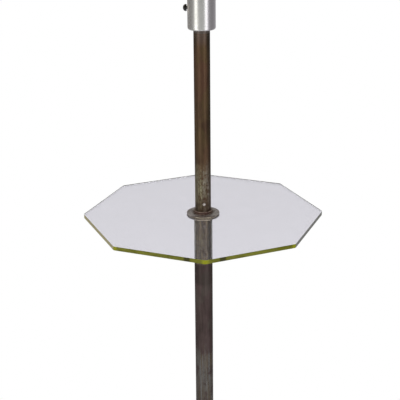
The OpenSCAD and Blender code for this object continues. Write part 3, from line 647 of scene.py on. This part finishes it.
plate = geometryTree("regular plate", regularPlate, {
    "Int": ["Sides"], "Float": ["Width", "Corner Radius", "Hole Radius", "Height", "Thickness"],
    "Material": ["Material"],
})
glassMaterial = plateGlass(glassLow.z, glassHigh.z)
glassTable = runTree(newPiece("glassTable"), plate, {
    "Sides": 8, "Width": glass["flats"], "Corner Radius": glass["corner"], "Hole Radius": glass["hole"],
    "Height": glassLow.z, "Thickness": glassHigh.z - glassLow.z, "Material": glassMaterial,
})
arris = glassTable.modifiers.new("arris", "BEVEL")
arris.width = glass["arris"]
arris.segments = 1
arris.limit_method = "ANGLE"
arris.angle_limit = radians(60)
settle(glassTable, 30)
fitOn(glassTable, glassMaterial, "glass_table")
print("glass table made,", len(glassTable.data.polygons), "faces")


# socket cup
def satinAluminium(name, look):
    # fine lines run round the piece; the oxide skin is uneven and a little brown on one side
    mat = Finish(name, {"Metallic": 1.0})
    across, inward, height = mat.axes
    lines = mat.marks(height, 5200, 3)
    cloud = mat.noise(95, 5, 0.7, 0.8)
    skin = mat.noise(400, 4, 0.7, shift=(2, 6, 1))
    side, stained = 1 - across.rise(*look["brown"]), skin.rise(0.36, 0.62)
    mat.ground(cloud.rise(0.35, 0.7) * 0.5, look["light"], look["grey"])
    # painted light: the right half gets a tone of its own, tuned to how the highlight falls off there
    mat.layer(across.rise(0, 0.014), look["paintedRightTone"])
    mat.layer(side * (0.24 + 0.54 * stained), look["tarnish"])
    rough = look["rough"] + 0.1 * (cloud - 0.5) + 0.06 * (lines - 0.5) + 0.08 * side
    relief = mat.bump(lines * 0.7 + skin * 0.3, 0.00002, 0.5)
    if "knobHeight" not in look:
        return mat.wear(rough, relief)
    # painted light: a paler, duller, less metallic patch round the knob, where the knob's shadow and dark
    # reflection would fall on the cup
    up = height - look["knobHeight"]
    near = 1 - ((up * up + inward * inward) ** 0.5).rise(8 * mm, 13 * mm)
    paintedKnobPatch = near * (1 - across.rise(-0.018, -0.014))
    mat.layer(paintedKnobPatch, mat.blend(stained, look["paintedKnobPatch"], look["tarnish"]))
    return mat.wear(rough + 0.3 * paintedKnobPatch, relief, 1 - 0.97 * paintedKnobPatch)


cup = sizes(wall=1.5, edge=3.5, rim=0.4, pipeHole=5.15, bushHole=4.15)
cupRadius, cupFoot, cupTop = span("socket_cup")
cupInside, cupFloor = cupRadius - cup["wall"], cupFoot + cup["wall"]
knobLow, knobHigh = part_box("switch_knob")
knobHeight = (knobLow.z + knobHigh.z) / 2


def drillForSwitch(piece, radius, outside, reach):
    # the switch shaft comes out through a hole on the left
    drill(piece, radius, (-outside + reach, 0, knobHeight), (-outside - reach, 0, knobHeight))


socketCup = lathe("socketCup", softened([
    (cup["pipeHole"], cupFoot), (cupRadius, cupFoot, cup["edge"]), (cupRadius, cupTop, cup["rim"]),
    (cupInside, cupTop, cup["rim"]), (cupInside, cupFloor, cup["edge"] - cup["wall"]),
    (cup["pipeHole"], cupFloor),
], 10), 160)
drillForSwitch(socketCup, cup["bushHole"], cupRadius, 4 * mm)
# the cup's finish carries painted light: a tone on its right half and a patch round the knob
fitOn(socketCup, satinAluminium("satin aluminium", dict(
    light=(232, 232, 228), grey=(212, 212, 208), tarnish=(156, 149, 144),
    paintedRightTone=(228, 223, 228), paintedKnobPatch=(180, 177, 172),
    brown=(-0.019, -0.008), rough=0.29, knobHeight=knobHeight,
)), "socket_cup")
print("socket cup made")


# switch knob, turned round the shaft that points to -X
def phenolic(name, low, high, rough):
    mat = Finish(name, {"Coat Weight": 0.12, "Coat Roughness": 0.25, "Specular IOR Level": 0.4})
    mat.clouds(low, high, 160, 4, 0.6, warp=1.2)
    scuff = mat.noise(700, 2, 0.6)
    return mat.wear(rough + 0.14 * (scuff - 0.5), mat.bump(scuff, 0.00002, 0.4))


knob = sizes(fluteDepth=0.25, bore=2.45, boreDepth=3.25, off=0.35, edge=0.15)
knob.update(flutes=12, skirt=0.28)
knobRadius, knobLength = (knobHigh.y - knobLow.y) / 2, knobHigh.x - knobLow.x - knob["off"]
skirtHeight = knobLength * knob["skirt"]


def fluted(radius, height, angle):
    # shallow finger flutes that fade out on the dome
    fade = max(0.0, 1 - height / (knobLength * 0.8)) if radius > knobRadius * 0.6 else 0
    return -knob["fluteDepth"] * fade * (0.5 + 0.5 * cos(knob["flutes"] * angle)) ** 2


knobOutline = [(knob["bore"], 0), (knobRadius - knob["edge"], 0), (knobRadius, knob["edge"])]
knobOutline += arc(0, skirtHeight, knobRadius, knobLength - skirtHeight, 0, 90, 14)
knobOutline += [(0, knob["boreDepth"]), (knob["bore"], knob["boreDepth"])]
knobTurn = Matrix.Translation((knobHigh.x - knob["off"], 0, knobHeight)) @ rotated(-90, "Y")
switchKnob = lathe("switchKnob", knobOutline, 144, fluted, knobTurn)
blackKnob = phenolic("black phenolic", (12, 11, 11), (24, 22, 22), 0.36)
fitOn(switchKnob, blackKnob, "switch_knob", "switch")
print("knob made")


# shade: parchment, bound edges, wires
shade = sizes(skin=0.8, wire=3.2, tapeWidth=9, tape=0.5, seam=11, gap=0.1, lift=0.25)
shade.update(sizes(stitch=3.4, thread=0.55, pitch=5.2), spokes=3, rows=24)
skinLow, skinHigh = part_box("shade_skin")
bottomRadius, skinFoot, skinTop = skinHigh.x, skinLow.z, skinHigh.z
skinHeight = skinTop - skinFoot
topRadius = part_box("shade_top_wire")[1].x + shade["skin"] + shade["gap"]
topRadius -= (bottomRadius - topRadius) / skinHeight * shade["wire"] / 2  # at the skin's top edge


def skinRadius(height):
    return bottomRadius + (topRadius - bottomRadius) * (height - skinFoot) / skinHeight


def lap(radius, height, angle):
    # the sheet's ends overlap at the back, where the inner one lifts the outer one a little
    away = abs(angle - pi / 2) * bottomRadius
    lift = max(0.0, min(1.0, (shade["seam"] - away) / (2 * mm)))
    outer = radius > skinRadius(height) - shade["skin"] * 0.5
    free = skinFoot + shade["tapeWidth"] < height < skinTop - shade["tapeWidth"]
    return shade["lift"] * lift if outer and free else 0


def parchment():
    # laminated parchment: cloudy, with long soft fibres, a little darker towards its bound edges
    mat = Finish("parchment", {"Coat Weight": 0.12, "Coat Roughness": 0.35})
    height, bound = mat.z, 35 * mm
    cloud = mat.noise(14, 6, 0.62, 1.3)
    fibre = mat.noise(85, 4, 0.7, 0.22, (1, 0, 0), 2.5)
    ends = height.rise(skinTop - bound, skinTop) + (1 - height.rise(skinFoot, skinFoot + bound))
    mat.ground(cloud.rise(0.28, 0.74), (214, 196, 158), (236, 222, 190))
    mat.layer(fibre.rise(0.56, 0.74) * 0.55, (198, 174, 132))
    mat.layer(mat.noise(520, 2, 0.5).rise(0.66, 0.76) * 0.3, (178, 150, 110))
    mat.layer(ends * 0.35, (206, 182, 138))
    return mat.wear(0.5 + 0.15 * (cloud - 0.5), mat.bump(cloud * 0.6 + fibre * 0.4, 0.00025, 0.5))


heights = [skinFoot + skinHeight * row / shade["rows"] for row in range(shade["rows"] + 1)]
skinOutline = [(skinRadius(z), z) for z in heights]
skinOutline += [(skinRadius(z) - shade["skin"], z) for z in reversed(heights)]
fitOn(lathe("shadeSkin", skinOutline, 512, lap), parchment(), "shade_skin")


def wovenTape(name, low, high):
    # a plain weave: two sets of threads cross, one along the tape and one across it
    mat = Finish(name, {"Sheen Weight": 0.25, "Sheen Roughness": 0.5})
    angle = mat.calc("ARCTAN2", mat.y, mat.x)
    weave = mat.calc("SINE", angle * 1600) * mat.calc("SINE", mat.z * 9000) * 0.5 + 0.5
    worn = mat.noise(60, 4, 0.6)
    mat.ground(weave, low, high)
    mat.layer(worn.rise(0.5, 0.75) * 0.35, (168, 146, 106))
    return mat.wear(0.8 + 0.1 * (worn - 0.5), mat.bump(weave, 0.00012, 0.7))


def tapeOutline(edge, way):
    # folded over the skin's edge; way is -1 at the foot and 1 at the top
    turnIn, thick, close = shade["skin"] + shade["wire"], shade["tape"], 0.01 * mm
    far, over = edge - way * shade["tapeWidth"], edge + way * thick
    outline = [
        (skinRadius(edge) - turnIn, edge), (skinRadius(edge) + close, edge), (skinRadius(far) + close, far),
        (skinRadius(far) + thick, far, 0.2 * mm), (skinRadius(edge) + thick, over, 0.35 * mm),
        (skinRadius(edge) - turnIn, over),
    ]
    return softened(outline[::way])


def ringOfPieces(maker, given):
    # copies of the piece stand in a ring round the column, each with its +X side outwards
    sockets = {"Vertices": given["Copies"], "Radius": given["Radius"]}
    circle = maker.add("GeometryNodeMeshCircle", sockets, fill_type="NONE")
    outward = maker.add("GeometryNodeInputPosition")
    facing = maker.add("FunctionNodeAlignRotationToVector", {"Vector": outward}, axis="X", pivot_axis="Z")
    copies = maker.add("GeometryNodeInstanceOnPoints", {
        "Points": circle, "Instance": given["Geometry"], "Rotation": facing})
    lift, turn = maker.upward(given["Height"]), maker.upward(given["Turn"])
    return maker.add("GeometryNodeTransform", {"Geometry": copies, "Translation": lift, "Rotation": turn})


copyRing = geometryTree("ring of copies", ringOfPieces, {
    "Geometry": ["Geometry"], "Int": ["Copies"],
    "Float": ["Radius", "Height", "Turn"], "Material": ["Material"],
})


def ringOf(piece, copies, radius, height, turn, material, sharp=35):
    inputs = {"Copies": copies, "Radius": radius, "Height": height, "Turn": turn, "Material": material}
    return runTree(piece, copyRing, inputs, sharp)


def oneStitch(name):
    # a short sewn stitch: thick in its middle, its ends drawn into the tape, a little slanted
    half, thick = shade["stitch"] / 2, shade["thread"] / 2
    angles = [pi * step / 6 for step in range(1, 6)]
    outline = [(thick * sin(angle) ** 0.6, -half * cos(angle)) for angle in angles]
    turned = rotated(12, "X") @ rotated(90, "X")
    return lathe(name, [(0, -half)] + outline + [(0, half)], 8, None, turned)


tapeCloth = wovenTape("binding tape", (178, 158, 118), (206, 188, 148))
threadCloth = wovenTape("sewing thread", (150, 128, 90), (172, 150, 108))
for side, edge, way in (("low", skinFoot, -1), ("high", skinTop, 1)):
    fitOn(lathe(side + "Binding", tapeOutline(edge, way), 256), tapeCloth, "shade_binding")
    height = edge - way * shade["tapeWidth"] * 0.72
    radius = skinRadius(height) + shade["tape"]
    count = round(2 * pi * radius / shade["pitch"])
    stitches = ringOf(oneStitch(side + "Stitches"), count, radius, height, 0.0, threadCloth, 180)
    fitOn(stitches, threadCloth, "shade_binding")
print("shade skin, binding and stitches made")


def enamelledWire():
    mat = Finish("enamelled wire", {"Coat Weight": 0.3, "Coat Roughness": 0.25})
    chips = mat.noise(300, 4, 0.7).rise(0.66, 0.7)
    cloud = mat.clouds((196, 186, 160), (214, 204, 178), 40, 3, 0.5, shift=(2, 0, 0))
    mat.layer(chips, (120, 104, 84))
    return mat.wear(0.42 + 0.1 * (cloud - 0.5), mat.bump(chips, 0.00006, -0.5))


wireEnamel = enamelledWire()


def hoop(name, height, node):
    # a round wire that lies against the inside of the skin
    half = shade["wire"] / 2
    radius = skinRadius(height) - shade["skin"] - half - shade["gap"]
    fitOn(lathe(name, arc(radius, height, half, half, 0, 360, 16)[1:], 192), wireEnamel, node)
    return radius


wireHeight = skinFoot + shade["wire"] / 2
hoopRadius = hoop("lowWire", wireHeight, "shade_frame")
hoop("highWire", skinTop - shade["wire"] / 2, "shade_top_wire")

# the fitter ring lies on the cup's rim; three spokes carry the shade from it
fitter = sizes(bore=19.65, outside=27.65, thickness=1.6, edge=0.4, spoke=3.0, start=24.6, weld=1.1)
fitterOutline = band(fitter["bore"], fitter["outside"], cupTop, cupTop + fitter["thickness"], fitter["edge"])
fitOn(lathe("fitterRing", softened(fitterOutline)), wireEnamel, "shade_frame")
spokeEnd, spokeRadius, weld = hoopRadius - fitter["start"], fitter["spoke"] / 2, fitter["weld"]
spoke = lathe("shadeSpokes", [
    (0, 0), (spokeRadius * 0.7, 0), (spokeRadius, 0.4 * mm), (spokeRadius, spokeEnd - 3 * mm),
    (spokeRadius + weld * 0.35, spokeEnd - 1.6 * mm), (spokeRadius + weld, spokeEnd), (0, spokeEnd),
], 20, None, Matrix.Translation((fitter["start"] - hoopRadius, 0, 0)) @ rotated(90, "Y"))
spokes = ringOf(spoke, shade["spokes"], hoopRadius, wireHeight, pi / 2, wireEnamel)
fitOn(spokes, wireEnamel, "shade_frame")
print("shade wires made")


# turned brass: shade ring, lampholder sleeve, small parts
def rawBrass(name, light, dark):
    mat = Finish(name, {"Metallic": 1.0})
    cloud = mat.noise(85, 5, 0.65)
    spots = mat.noise(330, 3, 0.7, shift=(6, 1, 3))
    mat.ground(cloud.rise(0.3, 0.72), dark, light)
    mat.layer(spots.rise(0.6, 0.7) * 0.5, (118, 88, 48))
    marks = mat.marks(mat.radius() + mat.z, 3200, 2)
    return mat.wear(0.33 + 0.2 * (cloud - 0.5), mat.bump(marks, 0.00003, 0.5))


brass = rawBrass("turned brass", (206, 174, 112), (164, 132, 80))
nut = dict(sizes(grooveRadius=1.2, out=0.72, edge=0.5, over=1), grooves=24)
nutRadius, nutFoot, nutTop = span("shade_ring")
nutOutline = band(fitter["bore"], nutRadius, nutFoot, nutTop, nut["edge"])
nutOutline[3] += (0.3 * mm,)
nutRing = lathe("shadeRing", softened(nutOutline), 192)
low, high = -nut["over"], nutTop - nutFoot + nut["over"]
groove = lathe("groove", [(0, low), (nut["grooveRadius"], low), (nut["grooveRadius"], high), (0, high)], 24)
count = nut["grooves"]
cut(nutRing, ringOf(groove, count, nutRadius + nut["out"], nutFoot, pi / count, brass))
fitOn(nutRing, brass, "shade_ring")


def screwThread(pitch, depth, low, high, over):
    # a rounded helix between two heights, beyond a radius, for a lathe's wave
    def wave(radius, height, angle):
        if radius < over or not low < height < high:
            return 0
        fade = min(1.0, (height - low) / pitch, (high - height) / pitch)
        return depth * fade * (0.5 + 0.5 * cos(2 * pi * height / pitch - angle))
    return wave


sleeve = sizes(radius=19, wall=0.8, pitch=1.6, depth=0.5, hole=4.15)
sleeveLow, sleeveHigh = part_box("holder_sleeve")
sleeveRadius, sleeveTop = sleeve["radius"], sleeveHigh.z
sleeveInside = sleeveRadius - sleeve["wall"]
sleeveOutline = [(sleeveInside, sleeveLow.z), (sleeveRadius, sleeveLow.z)]
sleeveOutline += [(sleeveRadius, sleeveTop - 9.6 * mm + 0.2 * mm * step) for step in range(49)]
holderSleeve = lathe("holderSleeve", sleeveOutline + [(sleeveInside, sleeveTop)], 128, screwThread(
    sleeve["pitch"], sleeve["depth"], sleeveTop - 9 * mm, sleeveTop - 0.4 * mm, sleeveRadius - 0.1 * mm))
drillForSwitch(holderSleeve, sleeve["hole"], sleeveRadius, 3 * mm)
fitOn(holderSleeve, brass, "holder_sleeve")
print("shade ring and sleeve made")


# bulb: frosted glass on a screw cap
bulb = sizes(neck=13.6, neckRise=14, wall=0.8, seat=11.6, cap=12.6, pitch=3.63, thread=0.84)
bulbRadius, bulbFoot, bulbTop = span("bulb_glass")
_, capFoot, capTop = span("bulb_cap")
ballMiddle, neckTop = bulbTop - bulbRadius, capTop + bulb["neckRise"]


def bulbOutline(inset):
    # from the seat in the cap up the neck, over a smooth curve to the ball and its top
    radius, neck, seat = bulbRadius - inset, bulb["neck"] - inset, bulb["seat"] - inset
    ball = arc(0, ballMiddle, radius, radius, -38, 90, 24)
    joinRadius, joinHeight = ball[0]
    points = [(seat, bulbFoot), (seat, capTop), (neck, capTop + 2 * mm), (neck, neckTop)]
    for step in range(1, 12):
        s = step / 12
        ease = s * s * (3 - 2 * s) * 0.5 + s * s * 0.5
        points.append((neck + (joinRadius - neck) * ease, neckTop + (joinHeight - neckTop) * s))
    return points + ball


def frosted():
    mat = Finish("frosted glass", {"Coat Weight": 0.6, "Coat Roughness": 0.08, "IOR": 1.5})
    cloud = mat.clouds((236, 234, 228), (246, 245, 240), 45, 3, 0.5)
    neck = 1 - mat.z.rise(capTop, capTop + 0.02)
    mat.layer(neck * 0.5, (206, 200, 188))
    return mat.wear(0.45 + 0.06 * (cloud - 0.5), mat.bump(cloud, 0.00005, 0.4))


bulbGlass = lathe("bulbGlass", bulbOutline(0) + bulbOutline(bulb["wall"])[::-1], 96)
fitOn(bulbGlass, frosted(), "bulb_glass")

threadFoot, threadTop = capFoot + 3.4 * mm, capTop - 3 * mm
threadRows = [threadFoot + (threadTop - threadFoot) * step / 72 for step in range(73)]
contact = [(0, 0), (3.2, 0), (3.9, 0.3), (4.6, 0.9), (9.9, 2.6), (11.6, 3.2)]
seat, seatFloor = bulb["seat"] + 0.1 * mm, capTop - 4 * mm
bulbCap = lathe("bulbCap", [(radius * mm, capFoot + lift * mm) for radius, lift in contact] + [
    (bulb["cap"] - bulb["thread"] / 2, z) for z in threadRows] + [
    (bulb["cap"], capTop - 2.6 * mm), (bulb["cap"], capTop), (seat, capTop), (seat, seatFloor),
    (0, seatFloor),
], 96, screwThread(bulb["pitch"], bulb["thread"], threadFoot, threadTop, 12 * mm))
fitOn(bulbCap, satinAluminium("cap metal", dict(
    light=(214, 214, 216), grey=(190, 190, 194), tarnish=(170, 164, 156),
    paintedRightTone=(206, 205, 208), brown=(-0.5, -0.4), rough=0.3,
)), "bulb_cap")
print("bulb made")


# base: spun cover and foot ring
base = dict(sizes(
    wall=1.2, rimHeight=15, rimRadius=7, step=7, stepHeight=2.4, boss=35, bossHeight=3, hole=5.15, bush=4.35,
    fillet=0.8,
), steps=12)
coverRadius, coverFoot, coverTop = span("base_cover")
slopeTop = coverTop - base["bossHeight"]


def coverLine(inset):
    # from the middle out: raised middle, a slope that steepens, a step, the rounded rim
    rimMiddle, rimTop = coverRadius - base["rimRadius"], base["rimHeight"] + base["rimRadius"]
    slopeIn, slopeOut = base["boss"] + 4 * mm, rimMiddle - base["step"]
    drop, bossEdge = slopeTop - rimTop - base["stepHeight"], base["boss"] - inset
    line = [
        (base["hole"], coverTop - inset), (bossEdge, coverTop - inset, base["fillet"]),
        (bossEdge + base["bossHeight"] * 0.4, slopeTop - inset + 0.6 * mm, base["fillet"]),
        (slopeIn, slopeTop - inset),
    ]
    for step in range(1, base["steps"] + 1):
        s = step / base["steps"]
        line.append((slopeIn + (slopeOut - slopeIn) * s, slopeTop - inset - drop * s * s))
    line.append((slopeOut + base["stepHeight"] * 0.5, rimTop - inset, base["fillet"]))
    radius = base["rimRadius"] - inset
    return line + arc(rimMiddle, base["rimHeight"], radius, radius, 90, 0, base["steps"])


coverEdge = [(coverRadius, coverFoot, 0.4 * mm), (coverRadius - base["wall"], coverFoot, 0.4 * mm)]
underside = [Vector(point[:2]) for point in reversed(coverLine(base["wall"]))]
baseCover = lathe("baseCover", softened(coverLine(0) + coverEdge) + underside, 256)
inletHeight = (sum(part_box("cord_inlet"), Vector()) / 2).z
drill(baseCover, base["bush"], (0, coverRadius - 6 * mm, inletHeight), (0, coverRadius + 4 * mm, inletHeight))
fitOn(baseCover, patina("base patina", baseLook), "base_cover")

foot = dict(sizes(edge=1.2, seat=14.95, neck=1.9, hole=5.15, floor=5), step=0.4)
footRadius, footFoot, footTop = span("foot_ring")
stepHeight = footFoot + (footTop - footFoot) * foot["step"] + foot["edge"]
neckRadius, footFloor = foot["seat"] + foot["neck"], footTop - foot["floor"]
footRing = lathe("footRing", softened([
    (foot["hole"], footFoot), (footRadius, footFoot, 0.3 * mm), (footRadius, stepHeight, foot["edge"]),
    (neckRadius + 1.3 * mm, stepHeight, 0.6 * mm), (neckRadius, footTop, foot["edge"]),
    (foot["seat"], footTop), (foot["seat"], footFloor), (foot["hole"], footFloor),
]))
# the foot ring gets a painted highlight on the front of its rim and painted shadow near the column
fitOn(footRing, turnedBronze("foot bronze", dict(
    metal=0.6, edge=(0.6, 0.52, 0.46, 1), rough=0.38, frontGrime=0, grime=(17 * mm, 19 * mm),
    rim=(footRadius - 1 * mm, footRadius), dark=(92, 72, 58), mid=(126, 100, 80),
    green=(112, 104, 88), paintedHighlight=(170, 144, 104), paintedRimShade=(92, 88, 84), paintedShadow=(70, 54, 44),
)), "foot_ring")
print("base made")


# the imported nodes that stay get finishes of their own
def plainMetal(name, light, dark, rough):
    mat = Finish(name, {"Metallic": 1.0})
    cloud = mat.clouds(dark, light, 140, 5, 0.65)
    return mat.wear(rough + 0.2 * (cloud - 0.5), mat.bump(mat.noise(800, 2, 0.6), 0.00003, 0.5))


def castIron():
    mat = Finish("cast iron", {"IOR": 1.5})
    sand = mat.noise(650, 4, 0.7)
    mat.clouds((58, 58, 60), (82, 80, 80), 40, 4, 0.6)
    mat.layer(sand.rise(0.6, 0.72) * 0.4, (96, 70, 54))
    return mat.wear(0.7 + 0.1 * (sand - 0.5), mat.bump(sand, 0.0004, 0.7))


def felt():
    mat = Finish("felt", {"Sheen Weight": 0.5, "Sheen Roughness": 0.6})
    hair = mat.clouds((34, 50, 40), (62, 82, 68), 900, 4, 0.75, 0.5, warp=1.5)
    mat.layer(mat.noise(60, 3, 0.5).rise(0.4, 0.7) * 0.3, (48, 62, 52))
    return mat.wear(0.9 + 0.1 * (hair - 0.5), mat.bump(hair, 0.0005, 0.8))


def pressedFibre(name, low, high):
    mat = Finish(name, {"IOR": 1.45})
    flake = mat.add("ShaderNodeTexVoronoi", {"Vector": mat.place, "Scale": 420}, "Distance")
    cloud = mat.noise(200, 4, 0.6)
    mat.ground((flake * 0.7 + cloud * 0.4).rise(0.25, 0.75), low, high)
    return mat.wear(0.75 + 0.15 * (cloud - 0.5), mat.bump(flake, 0.0001, 0.6))


def clearStem():
    mat = Finish("stem glass", {"IOR": 1.5, "Coat Weight": 0.5})
    cloud = mat.clouds((206, 210, 208), (224, 226, 224), 200, 3, 0.5)
    return mat.wear(0.15 + 0.05 * cloud)


keptFinishes = {
    "felt": felt(),
    "iron": castIron(),
    "black_plastic": phenolic("inlet plastic", (24, 24, 25), (38, 38, 38), 0.45),
    "zinc_steel": plainMetal("zinc plated steel", (196, 198, 202), (160, 162, 166), 0.38),
    "turned_brass": brass,
    "cork": pressedFibre("pressed cork", (196, 172, 134), (232, 212, 176)),
    "nylon": phenolic("natural nylon", (206, 202, 188), (222, 219, 206), 0.45),
    "screw": plainMetal("screw steel", (244, 236, 228), (216, 208, 200), 0.34),
    "insulator": phenolic("moulded insulator", (44, 36, 32), (66, 54, 46), 0.4),
    "liner_paper": pressedFibre("vulcanised fibre", (120, 92, 62), (160, 130, 92)),
    "steel_shaft": plainMetal("ground shaft", (190, 190, 194), (150, 150, 156), 0.28),
    "bulb_stem": clearStem(),
}
nickelled = plainMetal("nickelled bushing", (222, 220, 214), (196, 194, 190), 0.32)
kept = [name for name, node in frame["nodes"].items() if not node.hide_render]
for name in kept:
    node = frame["nodes"][name]
    node.data.materials[0] = nickelled if name == "switch_bushing" else keptFinishes[slots[name]]
print("kept nodes finished,", len(kept))


# stage: pale floor, white surroundings, two soft boxes and three broad lamps
stage = dict(
    floor=9.0, near=0.22, far=0.48, sky=0.2, glossy=0.33, behind=0.18, right=0.09,
    through=1.0, front=0.17, ambient=0.5, sheer=0.5,
)
white = (1, 1, 1, 1)


def rayStrength(maker, plain, glossy, through):
    # what a ray sees: the lens sees white, glass sees through, metal sees the studio, the rest plain light
    rays = ("Is Camera Ray", "Is Glossy Ray", "Is Transmission Ray")
    lens, shine, passing = [maker.add("ShaderNodeLightPath", out=key) for key in rays]
    value = plain + (glossy - plain) * shine
    value = value + (through - value) * passing
    return value + (1 - value) * lens, (lens + shine + passing).limited()


scene.world = bpy.data.worlds.new("studio")
scene.world.use_nodes = True
sky = scene.world.node_tree.nodes["Background"].inputs
sky["Color"].default_value = white
skyMaker = Maker(scene.world.node_tree)
strength, _ = rayStrength(skyMaker, stage["ambient"], stage["sky"], stage["through"])
skyMaker.link(strength, sky["Strength"])

floorMesh = bmesh.new()
bmesh.ops.create_grid(floorMesh, x_segments=2, y_segments=2, size=stage["floor"])
floor = newPiece("floor", floorMesh)
mat = Finish("pale floor", {"Base Color": (0.8, 0.8, 0.8, 1), "Roughness": 0.9})
mat.ground(mat.noise(30, 3, 0.5), (0.79, 0.79, 0.79, 1), (0.82, 0.82, 0.82, 1))
mat.wear()
# the studio is lighter before and behind the lamp, darker on its right; the near floor is the brightest
radius = mat.radius()
rightward, backward = mat.x / radius, mat.y / radius
glossy = stage["glossy"] + stage["behind"] * backward * backward - stage["right"] * rightward
through = stage["through"] + stage["front"] * (1 - mat.y.rise(-0.6, 0.2))
strength, seen = rayStrength(mat, 0.0, glossy, through)
away = radius.rise(stage["near"], stage["far"])
glow = mat.add("ShaderNodeEmission", {"Color": white, "Strength": strength})
mat.coated([(seen * (stage["sheer"] + (1 - stage["sheer"]) * away), glow)])
mat.material.cycles.emission_sampling = "NONE"
floor.data.materials.append(mat.material)


def lamp(name, turn, distance, height, size, power, colour=(1, 1, 1), glossy=False):
    # a flat lamp round the column, turn degrees to the right of the camera's side
    data = bpy.data.lights.new(name, "AREA")
    data.shape = "RECTANGLE"
    data.size, data.size_y = size
    data.energy = power
    data.color = colour
    light = bpy.data.objects.new(name, data)
    scene.collection.objects.link(light)
    angle = radians(turn)
    light.location = (sin(angle) * distance, -cos(angle) * distance, height)
    aim = Vector((0, 0, height)) - light.location
    light.rotation_euler = aim.to_track_quat("-Z", "Y").to_euler()
    light.visible_camera = False
    light.visible_glossy = glossy
    light.visible_transmission = False


lamp("leftBox", -46.5, 1.1, 0.75, (0.48, 1.5), 2.85, (1.0, 0.985, 0.945), True)
lamp("rightBox", 38, 1.1, 0.75, (0.44, 1.5), 2.65, (0.98, 0.98, 1.0), True)
lamp("leftLamp", -40, 2.6, 0.85, (1.6, 1.4), 22)
lamp("rightLamp", 40, 2.6, 0.85, (1.6, 1.4), 22)
lamp("backLamp", 180, 2.8, 1.0, (1.8, 1.4), 18)
print("stage lit")

bpy.context.view_layer.update()
